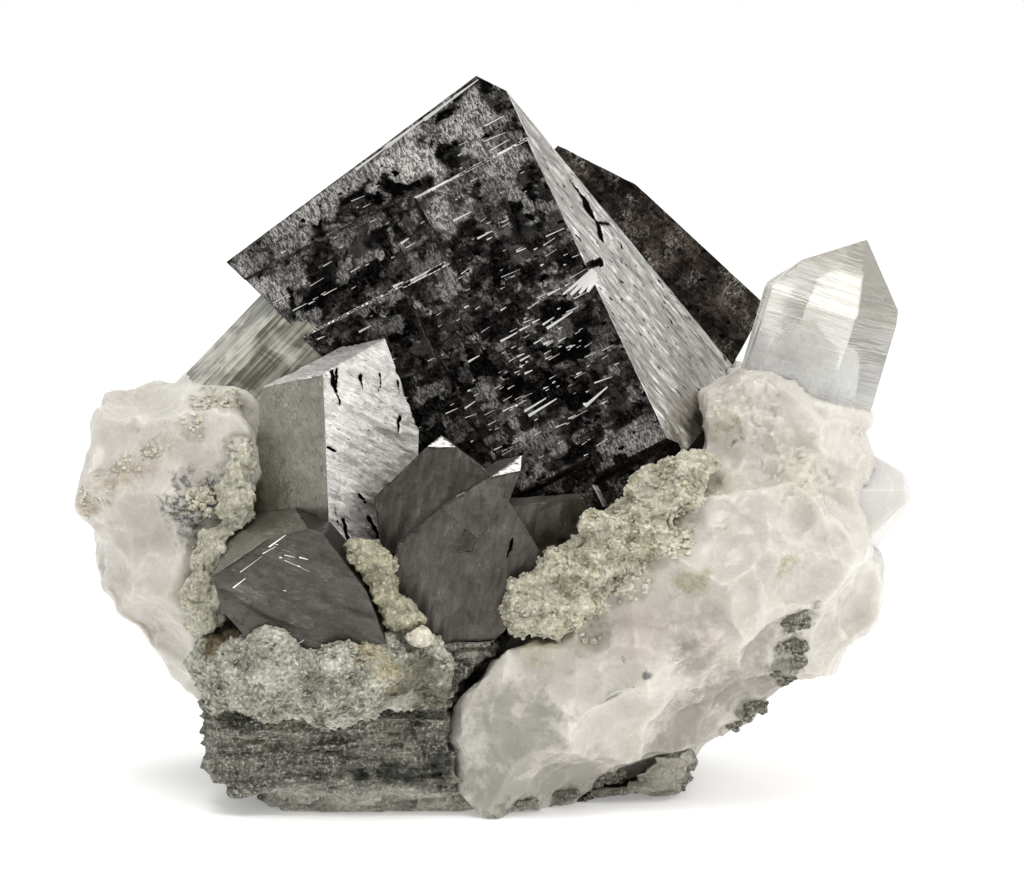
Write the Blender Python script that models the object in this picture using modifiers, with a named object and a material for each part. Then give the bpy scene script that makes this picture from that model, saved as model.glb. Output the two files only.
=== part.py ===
"""Arsenopyrite crystals with quartz, muscovite and schist, as the solids of one hand specimen.

All sizes are millimetres until a mesh is finished, when MM turns them to metres.
X runs to the right, -Y faces the front, Z is up, and Z = 0 is the surface it rests on.
"""

import math
import random
from collections import namedtuple

import bmesh
import bpy
from mathutils import Euler, Matrix, Vector, noise

MM = 0.001
COLLECTION = "arsenopyrite_with_quartz"

# Gaps between neighbours, and the size of the raw cube that each crystal is cut from
GAP = 0.3
ROCK_GAP = 0.5
SHELL_VOXEL = 0.7
BLANK = 200.0

# Each stone is broken flat a few times, at these shares of its reach; the cutter's front end stays this clear
BREAKS = 12
BREAK_REACH = (0.84, 0.97)
CLEAR_FRONT = 10.0
OCTAVES = 3

Face = namedtuple("Face", "azimuth elevation distance")
Block = namedtuple("Block", "centre faces")
Step = namedtuple("Step", "left right low high depth")
Lump = namedtuple("Lump", "centre radii turn")
Slab = namedtuple("Slab", "centre radii turn")
Prism = namedtuple("Prism", "centre lean turn sides tips foot end")
Cut = namedtuple("Cut", "point azimuth elevation")
Skin = namedtuple("Skin", "voxel triangles height size seed")

# Arsenopyrite blocks: the faces around a centre, each by where it looks and how far out it lies
LARGE = Block(
    (1.0, 10.0, 58.0),
    [
        Face(-5.0, 6.0, 14.1),
        Face(62.0, 26.0, 17.0),
        Face(-107.7, 52.0, 22.3),
        Face(-106.1, -46.2, 15.2),
        Face(80.0, -76.0, 25.3),
        Face(90.3, -53.4, 25.8),
        Face(149.6, 38.4, 9.6),
        Face(175.0, -6.0, 19.0),
    ],
)
REAR = Block(
    (18.2, 24.0, 58.3),
    [
        Face(8.0, 8.0, 8.8),
        Face(112.0, 62.0, 10.6),
        Face(112.0, 45.0, 7.4),
        Face(-94.0, 35.3, 18.6),
        Face(99.1, -30.7, 12.6),
        Face(-80.0, -42.0, 14.0),
        Face(-172.0, -4.0, 7.5),
    ],
)
BLOCKY = Block(
    (-18.5, -3.0, 42.0),
    [
        Face(-29.0, 2.0, 9.3),
        Face(36.0, 4.0, 7.6),
        Face(-68.0, 68.0, 11.5),
        Face(150.0, 18.0, 3.8),
        Face(-150.0, 4.0, 0.2),
        Face(20.0, -72.0, 13.3),
    ],
)
LENS = Block(
    (-22.0, -12.0, 28.5),
    [
        Face(-8.0, -6.0, 7.9),
        Face(-63.0, 48.0, 9.0),
        Face(-62.0, 70.0, 7.7),
        Face(80.0, 74.0, 7.2),
        Face(84.0, 36.0, 6.4),
        Face(85.0, 21.0, 7.4),
        Face(136.0, -70.0, 6.6),
        Face(-169.0, -71.0, 6.6),
        Face(-116.0, -39.0, 6.6),
        Face(-110.0, -12.0, 7.4),
        Face(175.0, 10.0, 8.0),
    ],
)
RHOMB_LOW = Block(
    (-3.5, -8.0, 28.0),
    [
        Face(4.0, -4.0, 6.2),
        Face(-89.0, 50.0, 8.4),
        Face(-89.0, 64.0, 9.6),
        Face(97.0, 40.0, 9.7),
        Face(99.0, 32.0, 8.9),
        Face(107.0, -38.0, 6.2),
        Face(-114.0, -60.0, 6.8),
        Face(-96.0, -33.0, 7.8),
        Face(-90.0, 11.0, 8.4),
        Face(176.0, 4.0, 8.0),
    ],
)
RHOMB_UP = Block(
    (-8.0, -8.0, 37.0),
    [
        Face(-6.0, 2.0, 6.0),
        Face(-105.0, 46.0, 3.7),
        Face(-5.0, 47.0, 9.1),
        Face(99.0, 51.0, 7.2),
        Face(89.0, -12.0, 6.8),
        Face(-101.0, -11.0, 4.6),
        Face(174.0, 0.0, 7.0),
        Face(0.0, -80.0, 6.5),
    ],
)
RHOMB_RIGHT = Block(
    (6.0, -5.0, 33.0),
    [
        Face(10.0, -8.0, 5.4),
        Face(-52.0, 84.0, 4.3),
        Face(104.0, 12.0, 4.4),
        Face(110.0, -28.0, 3.0),
        Face(116.0, -46.0, 3.6),
        Face(-95.0, 0.0, 6.0),
        Face(175.0, 0.0, 7.0),
        Face(0.0, -78.0, 8.5),
    ],
)
RHOMB_TIP = Block(
    (-1.0, -10.0, 36.5),
    [
        Face(4.0, -4.0, 5.0),
        Face(-89.0, 58.0, 3.1),
        Face(-9.0, 45.0, 6.5),
        Face(106.0, -19.0, 1.1),
        Face(108.0, -39.0, 0.5),
        Face(-102.0, -47.0, 2.2),
        Face(176.0, 4.0, 4.0),
    ],
)

# Growth steps of the large block's front, from its top corner: right and up on the face, then how deep
LARGE_CORNER = Vector((-1.2, -1.0, 86.8))
STEP_SLOPE = 28.0
LEDGE_LEAN = 0.6
STEPS = [
    Step(-60.0, 30.0, -9.1, 12.0, 0.5),
    Step(-60.0, -14.2, -17.6, -8.6, 0.9),
    Step(-60.0, -20.2, -80.0, -17.2, 0.5),
    Step(-10.4, 14.0, -80.0, -49.6, 2.0),
    Step(-24.0, -10.3, -80.0, -46.9, 1.2),
]

# Quartz points: a lean about X and Y and a turn in degrees, the six side and tip distances, and both ends
CLEAR_POINT = Prism(
    centre=(39.5, 2.5, 57.0),
    lean=(0.0, 16.0),
    turn=-24.0,
    sides=(5.4, 7.8, 8.2, 7.0, 6.2, 7.3),
    tips=(5.5, 7.6, 8.85, 8.0, 6.0, 7.4),
    foot=-16.0,
    end=30.0,
)
SIDE_POINT = Prism(
    centre=(41.5, 3.0, 35.2),
    lean=(8.0, 80.0),
    turn=12.0,
    sides=(6.9, 6.4, 6.6, 6.8, 6.4, 6.6),
    tips=(7.6, 7.0, 7.4, 7.6, 6.8, 7.2),
    foot=-10.0,
    end=8.8,
)
LEFT_POINT = Prism(
    centre=(-26.0, 4.5, 51.0),
    lean=(-4.0, 44.0),
    turn=-12.0,
    sides=(6.6, 6.8, 6.5, 6.7, 6.8, 6.5),
    tips=(9.5, 9.3, 9.6, 9.4, 9.5, 9.2),
    foot=-14.0,
    end=30.0,
)
PRISM_SIDES = 6
TIP_ELEVATION = 38.2

LEFT_QUARTZ = [
    Lump((-38.6, 2.0, 37.5), (12.2, 12.0, 12.6), 0.0),
    Lump((-35.8, 1.5, 27.5), (12.2, 13.0, 12.5), 20.0),
    Lump((-34.5, -1.0, 18.0), (5.6, 7.0, 6.6), -25.0),
    Lump((-35.5, -3.0, 40.0), (9.0, 8.8, 11.0), 35.0),
    Lump((-24.0, 11.0, 36.0), (17.0, 15.0, 21.0), 0.0),
]
LEFT_FRACTURES = [
    Cut((-42.6, 0.0, 20.6), -100.0, -40.0),
    Cut((-38.0, -13.0, 42.0), -25.0, 18.0),
    Cut((-33.0, 17.0, 38.0), -158.0, 12.0),
    Cut((-34.0, 12.0, 24.0), -150.0, -38.0),
    Cut((-45.5, 8.0, 34.0), -118.0, 6.0),
]

RIGHT_QUARTZ = [
    Lump((6.4, -13.0, 9.6), (11.2, 12.0, 12.0), -20.0),
    Lump((19.0, -6.0, 16.6), (17.5, 15.5, 15.5), -25.0),
    Lump((30.0, -3.0, 26.5), (17.0, 15.0, 16.5), -45.0),
    Lump((34.5, 1.5, 39.0), (11.4, 11.5, 13.0), -20.0),
    Lump((38.6, 4.0, 23.0), (9.6, 10.5, 10.5), -30.0),
    Lump((25.0, 15.0, 32.0), (18.0, 14.0, 21.0), -20.0),
]
RIGHT_FRACTURES = [
    Cut((24.0, -16.5, 18.0), 34.0, -40.0),
    Cut((9.0, -20.5, 15.5), -10.0, -12.0),
    Cut((22.0, -17.0, 26.0), -6.0, 16.0),
    Cut((38.5, 0.0, 12.0), 95.0, -44.0),
    Cut((26.0, 23.0, 32.0), 164.0, -14.0),
    Cut((38.0, 17.0, 30.0), 128.0, 4.0),
    Cut((30.0, 16.0, 16.0), 150.0, -52.0),
]

SCHIST = [
    Slab((-12.8, 3.0, 1.9), (13.6, 15.5, 2.9), -1.5),
    Slab((-17.6, 3.5, 8.0), (16.6, 19.5, 6.0), -1.5),
    Slab((-17.0, 5.0, 16.5), (17.6, 19.5, 5.6), 2.0),
    Slab((-8.0, 11.0, 27.0), (16.0, 16.5, 9.0), 0.0),
    Slab((8.0, 8.0, 3.4), (15.5, 15.5, 4.6), -8.0),
    Slab((0.0, 18.0, 38.0), (15.0, 10.0, 11.0), 8.0),
]
UNDERSIDE = Cut((0.0, 0.0, 0.0), 0.0, -90.0)
CAP = [
    Lump((-26.0, -16.0, 17.4), (6.8, 6.0, 5.6), 10.0),
    Lump((-16.0, -16.5, 17.6), (8.6, 6.4, 5.6), -8.0),
    Lump((-9.0, -14.0, 17.6), (5.4, 5.6, 4.8), 0.0),
    Lump((-31.0, -10.5, 16.0), (3.8, 6.5, 6.4), 0.0),
]
RIGHT_CRUST = [
    Lump((5.4, -16.0, 25.0), (4.6, 4.4, 4.0), 0.0),
    Lump((9.8, -14.6, 28.4), (5.2, 4.6, 4.6), -30.0),
    Lump((13.4, -13.6, 32.2), (5.2, 4.8, 4.6), -40.0),
    Lump((18.0, -12.4, 34.6), (5.4, 4.8, 4.4), -35.0),
    Lump((22.4, -10.0, 38.6), (4.8, 4.6, 4.0), -35.0),
]
CLUSTER = [
    Lump((-15.0, -18.6, 32.0), (2.6, 2.4, 2.0), 0.0),
    Lump((-13.2, -18.0, 28.4), (2.3, 2.8, 2.8), 0.0),
    Lump((-10.8, -18.4, 24.6), (2.6, 2.6, 2.2), 20.0),
]
LEFT_CRUST = [
    Lump((-29.8, -9.6, 41.6), (2.0, 2.6, 3.2), 0.0),
    Lump((-30.0, -11.0, 36.6), (2.2, 2.8, 3.8), 0.0),
    Lump((-33.0, -12.0, 31.2), (2.3, 3.0, 4.2), 20.0),
    Lump((-34.0, -12.5, 24.6), (2.8, 3.4, 3.8), 0.0),
]
CREAM = [Lump((-8.6, -19.4, 22.4), (2.0, 1.7, 1.3), 6.0)]

# Surface of each rough mass: mesh width, triangles left, bump height and width, and the number that picks the bumps
SKINS = {
    "right_quartz": Skin(1.0, 1500, 0.8, 8.0, 3),
    "left_quartz": Skin(1.0, 1200, 0.8, 8.0, 5),
    "schist_base": Skin(1.0, 1300, 1.0, 6.0, 7),
    "mica_cap": Skin(0.8, 900, 1.4, 4.0, 11),
    "mica_crust_right": Skin(0.7, 800, 1.3, 3.0, 13),
    "mica_crust_left": Skin(0.6, 500, 1.0, 2.6, 17),
    "mica_cluster": Skin(0.5, 400, 0.8, 2.0, 19),
    "cream_grain": Skin(0.4, 120, 0.3, 2.0, 23),
}


def direction(azimuth, elevation):
    """Unit vector that looks to the front at azimuth 0, to the right at 90, and up at elevation 90."""
    turn = math.radians(azimuth)
    rise = math.radians(elevation)
    return Vector((math.sin(turn) * math.cos(rise), -math.cos(turn) * math.cos(rise), math.sin(rise)))


def clear_scene():
    for obj in list(bpy.data.objects):
        bpy.data.objects.remove(obj, do_unlink=True)


def new_collection(name):
    collection = bpy.data.collections.new(name)
    bpy.context.scene.collection.children.link(collection)
    return collection


def new_object(name, bm, collection):
    """An object from a bmesh drawn in millimetres."""
    bmesh.ops.scale(bm, vec=(MM, MM, MM), verts=bm.verts)
    bmesh.ops.recalc_face_normals(bm, faces=bm.faces)
    mesh = bpy.data.meshes.new(name)
    bm.to_mesh(mesh)
    bm.free()
    obj = bpy.data.objects.new(name, mesh)
    collection.objects.link(obj)
    return obj


def as_cutter(obj):
    obj.hide_render = True
    obj.display_type = "WIRE"
    return obj


def cut_flat(bm, normal, distance):
    """Takes off what lies beyond a plane and closes the cut."""
    everything = [*bm.verts, *bm.edges, *bm.faces]
    cut = bmesh.ops.bisect_plane(
        bm, geom=everything, dist=1e-5, plane_co=normal * distance, plane_no=normal, clear_outer=True
    )
    rim = [item for item in cut["geom_cut"] if isinstance(item, bmesh.types.BMEdge)]
    bmesh.ops.holes_fill(bm, edges=rim)


def block(name, shape, collection, grow=0.0):
    """A crystal block: a cube cut by one plane for each of its faces."""
    bm = bmesh.new()
    bmesh.ops.create_cube(bm, size=BLANK)
    for face in shape.faces:
        cut_flat(bm, direction(face.azimuth, face.elevation), face.distance + grow)
    bmesh.ops.translate(bm, vec=shape.centre, verts=bm.verts)
    return new_object(name, bm, collection)


def prism(name, shape, collection, grow=0.0):
    """A six-sided quartz crystal with a tip of six sloping faces and a flat foot inside the rock."""
    bm = bmesh.new()
    bmesh.ops.create_cube(bm, size=BLANK)
    for number in range(PRISM_SIDES):
        azimuth = shape.turn + 360.0 / PRISM_SIDES * number
        cut_flat(bm, direction(azimuth, 0.0), shape.sides[number] + grow)
        cut_flat(bm, direction(azimuth, TIP_ELEVATION), shape.tips[number] + grow)
    cut_flat(bm, Vector((0.0, 0.0, -1.0)), grow - shape.foot)
    cut_flat(bm, Vector((0.0, 0.0, 1.0)), grow + shape.end)
    lean = Euler((math.radians(shape.lean[0]), math.radians(shape.lean[1]), 0.0)).to_matrix()
    bmesh.ops.rotate(bm, cent=(0, 0, 0), matrix=lean, verts=bm.verts)
    bmesh.ops.translate(bm, vec=shape.centre, verts=bm.verts)
    return new_object(name, bm, collection)


def boolean(obj, other, operation, solver="EXACT"):
    """Cuts with or joins another object. The rough masses need MANIFOLD, since EXACT leaves open edges on them."""
    modifier = obj.modifiers.new(f"{operation} {other.name}".lower(), "BOOLEAN")
    modifier.operation = operation
    modifier.solver = solver
    modifier.object = other


def settle(obj):
    """Applies the modifiers and keeps the largest body, so no crumb of a cut stays loose."""
    graph = bpy.context.evaluated_depsgraph_get()
    mesh = bpy.data.meshes.new_from_object(obj.evaluated_get(graph))
    obj.modifiers.clear()
    old = obj.data
    obj.data = mesh
    bpy.data.meshes.remove(old)
    bm = bmesh.new()
    bm.from_mesh(mesh)
    left = set(bm.faces)
    bodies = []
    while left:
        body = [left.pop()]
        for face in body:
            for edge in face.edges:
                for other in edge.link_faces:
                    if other in left:
                        left.remove(other)
                        body.append(other)
        bodies.append(body)
    bodies.sort(key=len)
    for body in bodies[:-1]:
        bmesh.ops.delete(bm, geom=body, context="FACES")
    bm.to_mesh(mesh)
    bm.free()


def face_frame(face, slope):
    """Matrix whose X and Y run along a crystal face, with X rising to the right by slope degrees, and Z out of it."""
    out = direction(face.azimuth, face.elevation)
    level = Vector((0.0, 0.0, 1.0)).cross(out).normalized()
    along = Matrix.Rotation(math.radians(slope), 3, out) @ level
    up = out.cross(along)
    return Matrix((along, up, out)).transposed()


def step_cutter(step, frame, corner, collection):
    """A box with leaning sides that takes one growth step off the face, and reaches well clear in front of it."""
    size = Vector((step.right - step.left, step.high - step.low, step.depth + CLEAR_FRONT))
    centre = Vector((step.right + step.left, step.high + step.low, CLEAR_FRONT - step.depth)) / 2
    bm = bmesh.new()
    bmesh.ops.create_cube(bm, size=1.0)
    bmesh.ops.scale(bm, vec=size, verts=bm.verts)
    for vert in bm.verts:
        if vert.co.z > 0.0:
            vert.co.x += math.copysign(size.z * LEDGE_LEAN, vert.co.x)
            vert.co.y += math.copysign(size.z * LEDGE_LEAN, vert.co.y)
    bmesh.ops.translate(bm, vec=centre, verts=bm.verts)
    bmesh.ops.rotate(bm, cent=(0, 0, 0), matrix=frame, verts=bm.verts)
    bmesh.ops.translate(bm, vec=corner, verts=bm.verts)
    return as_cutter(new_object("step_cutter", bm, collection))


def roughen(obj, skin):
    """Moves each point along its normal by a few octaves of noise."""
    mesh = obj.data
    shift = Vector((skin.seed * 17.3, skin.seed * 5.1, skin.seed * 9.7))
    moved = []
    for vert in mesh.vertices:
        place = vert.co / (skin.size * MM) + shift
        bump = noise.fractal(place, 0.6, 2.0, OCTAVES, noise_basis="PERLIN_ORIGINAL")
        moved.append(vert.co + vert.normal * (bump * skin.height * MM))
    for vert, place in zip(mesh.vertices, moved):
        vert.co = place


def add_stone(bm, shape, rng):
    """Adds a rounded stone, or a slab with square sides, with a few flat breaks."""
    slab = isinstance(shape, Slab)
    stone = bmesh.new()
    if slab:
        bmesh.ops.create_cube(stone, size=2.0)
    else:
        bmesh.ops.create_icosphere(stone, subdivisions=3, radius=1.0)
    for _ in range(BREAKS):
        out = Vector((rng.gauss(0.0, 1.0), rng.gauss(0.0, 1.0), rng.gauss(0.0, 1.0))).normalized()
        reach = max(out.dot(vert.co) for vert in stone.verts)
        cut_flat(stone, out, reach * rng.uniform(*BREAK_REACH))
    bmesh.ops.scale(stone, vec=shape.radii, verts=stone.verts)
    turn = Matrix.Rotation(math.radians(shape.turn), 3, "Y")
    bmesh.ops.rotate(stone, cent=(0, 0, 0), matrix=turn, verts=stone.verts)
    bmesh.ops.translate(stone, vec=shape.centre, verts=stone.verts)
    mesh = bpy.data.meshes.new("stone")
    stone.to_mesh(mesh)
    stone.free()
    bm.from_mesh(mesh)
    bpy.data.meshes.remove(mesh)


def remesh(obj, voxel):
    """One closed skin around everything in the object."""
    modifier = obj.modifiers.new("remesh", "REMESH")
    modifier.mode = "VOXEL"
    modifier.voxel_size = voxel * MM
    settle(obj)


def thin(obj, triangles):
    """Merges faces that are nearly flat until about this many triangles are left."""
    modifier = obj.modifiers.new("thin", "DECIMATE")
    modifier.ratio = min(1.0, triangles / sum(len(face.vertices) - 2 for face in obj.data.polygons))
    settle(obj)


def rock(name, shapes, collection):
    """Stones grown into one mass, roughened, then thinned to a number of triangles."""
    skin = SKINS[name]
    rng = random.Random(skin.seed)
    bm = bmesh.new()
    for shape in shapes:
        add_stone(bm, shape, rng)
    obj = new_object(name, bm, collection)
    remesh(obj, skin.voxel)
    roughen(obj, skin)
    remesh(obj, skin.voxel)
    thin(obj, skin.triangles)
    return obj


def fracture(obj, cuts, cutters):
    """Breaks flat faces off a mass: each cut is a big box on the far side of a plane."""
    for cut in cuts:
        out = direction(cut.azimuth, cut.elevation)
        bm = bmesh.new()
        bmesh.ops.create_cube(bm, size=BLANK)
        bmesh.ops.translate(bm, vec=(0.0, 0.0, BLANK / 2), verts=bm.verts)
        bmesh.ops.rotate(bm, cent=(0, 0, 0), matrix=out.to_track_quat("Z", "Y").to_matrix(), verts=bm.verts)
        bmesh.ops.translate(bm, vec=cut.point, verts=bm.verts)
        boolean(obj, as_cutter(new_object(f"{obj.name}_fracture", bm, cutters)), "DIFFERENCE", "MANIFOLD")


def grown_copy(obj, cutters):
    """A copy that is one gap larger all round, to cut its neighbours with."""
    copy = bpy.data.objects.new(f"{obj.name}_shell", obj.data.copy())
    cutters.objects.link(copy)
    for vert, normal in [(vert, vert.normal.copy()) for vert in copy.data.vertices]:
        vert.co += normal * (ROCK_GAP * MM)
    triangles = sum(len(face.vertices) - 2 for face in copy.data.polygons)
    remesh(copy, SHELL_VOXEL)
    thin(copy, triangles)
    return as_cutter(copy)


def carve(obj, neighbours, solver="EXACT"):
    """Cuts each neighbour out of a piece."""
    for neighbour in neighbours:
        boolean(obj, neighbour, "DIFFERENCE", solver)
    settle(obj)


def material(name, colour, roughness, metallic=0.0):
    made = bpy.data.materials.new(name)
    made.use_nodes = True
    shader = made.node_tree.nodes["Principled BSDF"]
    shader.inputs["Base Color"].default_value = (*colour, 1.0)
    shader.inputs["Roughness"].default_value = roughness
    shader.inputs["Metallic"].default_value = metallic
    made.diffuse_color = (*colour, 1.0)
    return made


def dress(obj, finish):
    obj.data.materials.clear()
    obj.data.materials.append(finish)


def centre_on_origin(objects):
    """Slides everything sideways until the bounding box is centred on X = 0 and Y = 0."""
    corners = [vert.co for obj in objects for vert in obj.data.vertices]
    middle_x = (min(point.x for point in corners) + max(point.x for point in corners)) / 2
    middle_y = (min(point.y for point in corners) + max(point.y for point in corners)) / 2
    for obj in objects:
        obj.data.transform(Matrix.Translation((-middle_x, -middle_y, 0.0)))


def build():
    clear_scene()
    parts = new_collection(COLLECTION)
    cutters = new_collection("cutters")
    cutters.hide_render = True

    dark = material("arsenopyrite_dark", (0.03, 0.028, 0.028), 0.35, 1.0)
    grey = material("arsenopyrite_grey", (0.16, 0.155, 0.15), 0.4, 1.0)
    milky = material("milky_quartz", (0.72, 0.71, 0.68), 0.35)
    schist = material("schist", (0.2, 0.2, 0.18), 0.8)
    mica = material("muscovite", (0.45, 0.44, 0.33), 0.6)
    cream = material("cream_mineral", (0.7, 0.66, 0.52), 0.5)

    # Arsenopyrite
    large = block("large_arsenopyrite", LARGE, parts)
    frame = face_frame(LARGE.faces[0], STEP_SLOPE)
    for step in STEPS:
        boolean(large, step_cutter(step, frame, LARGE_CORNER, cutters), "DIFFERENCE")
    settle(large)
    large_grown = as_cutter(block("large_grown", LARGE, cutters, GAP))

    rear = block("rear_arsenopyrite", REAR, parts)
    rear_grown = as_cutter(block("rear_grown", REAR, cutters, GAP))
    carve(rear, [large_grown])

    blocky = block("blocky_arsenopyrite", BLOCKY, parts)
    blocky_grown = as_cutter(block("blocky_grown", BLOCKY, cutters, GAP))
    carve(blocky, [large_grown])

    rhombs = block("rhombic_arsenopyrite", RHOMB_LOW, parts)
    rhomb_grown = []
    others = (("up", RHOMB_UP), ("right", RHOMB_RIGHT), ("tip", RHOMB_TIP))
    for name, shape in others:
        boolean(rhombs, as_cutter(block(f"rhomb_{name}", shape, cutters)), "UNION")
    for name, shape in (("low", RHOMB_LOW), *others):
        rhomb_grown.append(as_cutter(block(f"rhomb_{name}_grown", shape, cutters, GAP)))
    carve(rhombs, [large_grown, blocky_grown])

    lens = block("lens_arsenopyrite", LENS, parts)
    lens_grown = as_cutter(block("lens_grown", LENS, cutters, GAP))
    carve(lens, [blocky_grown, *rhomb_grown])

    neighbours = [large_grown, rear_grown, blocky_grown, lens_grown, *rhomb_grown]

    # Quartz
    right = rock("right_quartz", RIGHT_QUARTZ, parts)
    fracture(right, [*RIGHT_FRACTURES, UNDERSIDE], cutters)
    for name, shape in (("clear", CLEAR_POINT), ("side", SIDE_POINT)):
        boolean(right, as_cutter(prism(f"{name}_point", shape, cutters)), "UNION", "MANIFOLD")
    carve(right, neighbours, "MANIFOLD")
    neighbours.append(grown_copy(right, cutters))

    left = rock("left_quartz", LEFT_QUARTZ, parts)
    fracture(left, LEFT_FRACTURES, cutters)
    boolean(left, as_cutter(prism("left_point", LEFT_POINT, cutters)), "UNION", "MANIFOLD")
    carve(left, neighbours, "MANIFOLD")
    neighbours.append(grown_copy(left, cutters))

    # Schist, muscovite and the cream grain, each cut to fit those before it
    base = rock("schist_base", SCHIST, parts)
    fracture(base, [UNDERSIDE], cutters)
    carve(base, neighbours, "MANIFOLD")
    neighbours.append(grown_copy(base, cutters))
    grains = []
    for name, shapes in (
        ("mica_cap", CAP),
        ("mica_crust_right", RIGHT_CRUST),
        ("mica_crust_left", LEFT_CRUST),
        ("mica_cluster", CLUSTER),
        ("cream_grain", CREAM),
    ):
        grain = rock(name, shapes, parts)
        carve(grain, neighbours, "MANIFOLD")
        neighbours.append(grown_copy(grain, cutters))
        grains.append(grain)
    cap, crust, seam, cluster, bead = grains

    for obj, finish in (
        (large, dark),
        (rear, dark),
        (blocky, grey),
        (lens, grey),
        (rhombs, grey),
        (right, milky),
        (left, milky),
        (base, schist),
        (cap, mica),
        (crust, mica),
        (seam, mica),
        (cluster, mica),
        (bead, cream),
    ):
        dress(obj, finish)
    centre_on_origin(parts.objects)


build()
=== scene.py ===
"""Looks of an arsenopyrite, quartz and schist hand specimen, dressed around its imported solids.

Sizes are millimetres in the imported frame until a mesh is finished: X to the right, -Y to the front, Z up,
and Z = 0 is the surface it rests on.
"""

from __future__ import annotations

import logging
import math
from dataclasses import dataclass
from enum import Enum

import bmesh
import bpy
import numpy as np
from mathutils import Euler, Matrix, Vector


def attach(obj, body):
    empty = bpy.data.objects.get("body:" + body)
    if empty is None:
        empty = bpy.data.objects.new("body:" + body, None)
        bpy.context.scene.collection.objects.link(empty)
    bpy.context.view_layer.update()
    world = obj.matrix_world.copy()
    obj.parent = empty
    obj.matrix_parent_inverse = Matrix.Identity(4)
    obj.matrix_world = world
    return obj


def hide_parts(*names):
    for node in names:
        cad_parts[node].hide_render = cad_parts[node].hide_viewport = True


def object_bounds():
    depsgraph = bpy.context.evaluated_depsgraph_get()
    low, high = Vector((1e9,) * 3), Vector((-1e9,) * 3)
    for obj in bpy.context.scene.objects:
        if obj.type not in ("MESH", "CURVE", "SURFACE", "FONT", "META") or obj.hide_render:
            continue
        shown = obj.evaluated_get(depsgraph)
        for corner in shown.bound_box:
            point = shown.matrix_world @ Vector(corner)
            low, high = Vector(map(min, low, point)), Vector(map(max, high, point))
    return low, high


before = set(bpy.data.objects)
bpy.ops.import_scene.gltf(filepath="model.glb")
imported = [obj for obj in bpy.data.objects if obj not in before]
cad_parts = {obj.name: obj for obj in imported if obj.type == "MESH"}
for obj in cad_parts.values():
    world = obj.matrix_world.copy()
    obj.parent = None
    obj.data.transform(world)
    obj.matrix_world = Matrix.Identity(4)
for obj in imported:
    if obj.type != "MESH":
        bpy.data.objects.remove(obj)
CAD_BOX = [list(corner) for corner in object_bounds()]

log = logging.getLogger("specimen")

# Short names for types
Pair = tuple[float, float]
Triple = tuple[float, float, float]
Array = np.ndarray
Tree = bpy.types.NodeTree
Socket = bpy.types.NodeSocket
Material = bpy.types.Material
Piece = bpy.types.Object
Mesh = bpy.types.Mesh

MM = 0.001
BODY = "root"
WHITE = (1.0, 1.0, 1.0, 1.0)
QUARTZ_IOR = 1.544
# The sine of the slope under which a face counts as level
NEARLY_LEVEL = 0.05
# Angles between faces: those of one flat face differ less, and those of sharp edges more
SAME_FACE = math.radians(0.6)
CRYSTAL_EDGE = math.radians(24.0)
ROCK_EDGE = math.radians(38.0)

# The photograph's frame, and the camera that gives it: one pixel is 0.12 mm at the specimen
PICTURE_WIDTH = 1024
PIXEL = 0.12
CAMERA_RISE = 8.0
CAMERA_DISTANCE = 700.0
CAMERA_TARGET = Vector((1.989, -5.076, 42.1))
SENSOR_WIDTH = 36.0

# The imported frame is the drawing's frame slid by this much
SHIFT = Vector((-0.411, -5.076, 0.0))


# Small helpers


def linear(colour: str) -> tuple[float, float, float, float]:
    """Turns an sRGB hex colour to linear.

    Args:
        colour: six hex digits after a hash sign.

    Returns:
        Red, green, blue and an alpha of 1.
    """
    channels = []
    for start in (1, 3, 5):
        value = int(colour[start : start + 2], 16) / 255.0
        channels.append(value / 12.92 if value <= 0.04045 else ((value + 0.055) / 1.055) ** 2.4)
    return (channels[0], channels[1], channels[2], 1.0)


def direction(azimuth: float, elevation: float) -> Vector:
    """Finds the unit vector of a way to look.

    Args:
        azimuth: degrees, 0 to the front and 90 to the right.
        elevation: degrees above the level.

    Returns:
        The unit vector.
    """
    turn = math.radians(azimuth)
    rise = math.radians(elevation)
    return Vector((math.sin(turn) * math.cos(rise), -math.cos(turn) * math.cos(rise), math.sin(rise)))


def fill(tree: Tree, node: bpy.types.Node, inputs: dict[str | int, object]) -> None:
    """Links or fills some inputs of a node.

    Args:
        tree: the node's tree.
        node: the node.
        inputs: a socket to link from, or a plain value, for each input.
    """
    for socket, value in inputs.items():
        if isinstance(value, Socket):
            tree.links.new(value, node.inputs[socket])
        else:
            node.inputs[socket].default_value = value


def add_node(
    tree: Tree, kind: str, inputs: dict[str | int, object], output: str | int = 0, **settings: object
) -> Socket:
    """Adds a node and gives one of its outputs.

    Args:
        tree: the material's or world's node tree.
        kind: the node's type name after "ShaderNode".
        inputs: a socket to link from, or a plain value, for each input.
        output: the output to give.
        settings: the node's own properties.

    Returns:
        The output's socket.
    """
    node = tree.nodes.new(f"ShaderNode{kind}")
    for name, value in settings.items():
        setattr(node, name, value)
    fill(tree, node, inputs)
    return node.outputs[output]


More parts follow.
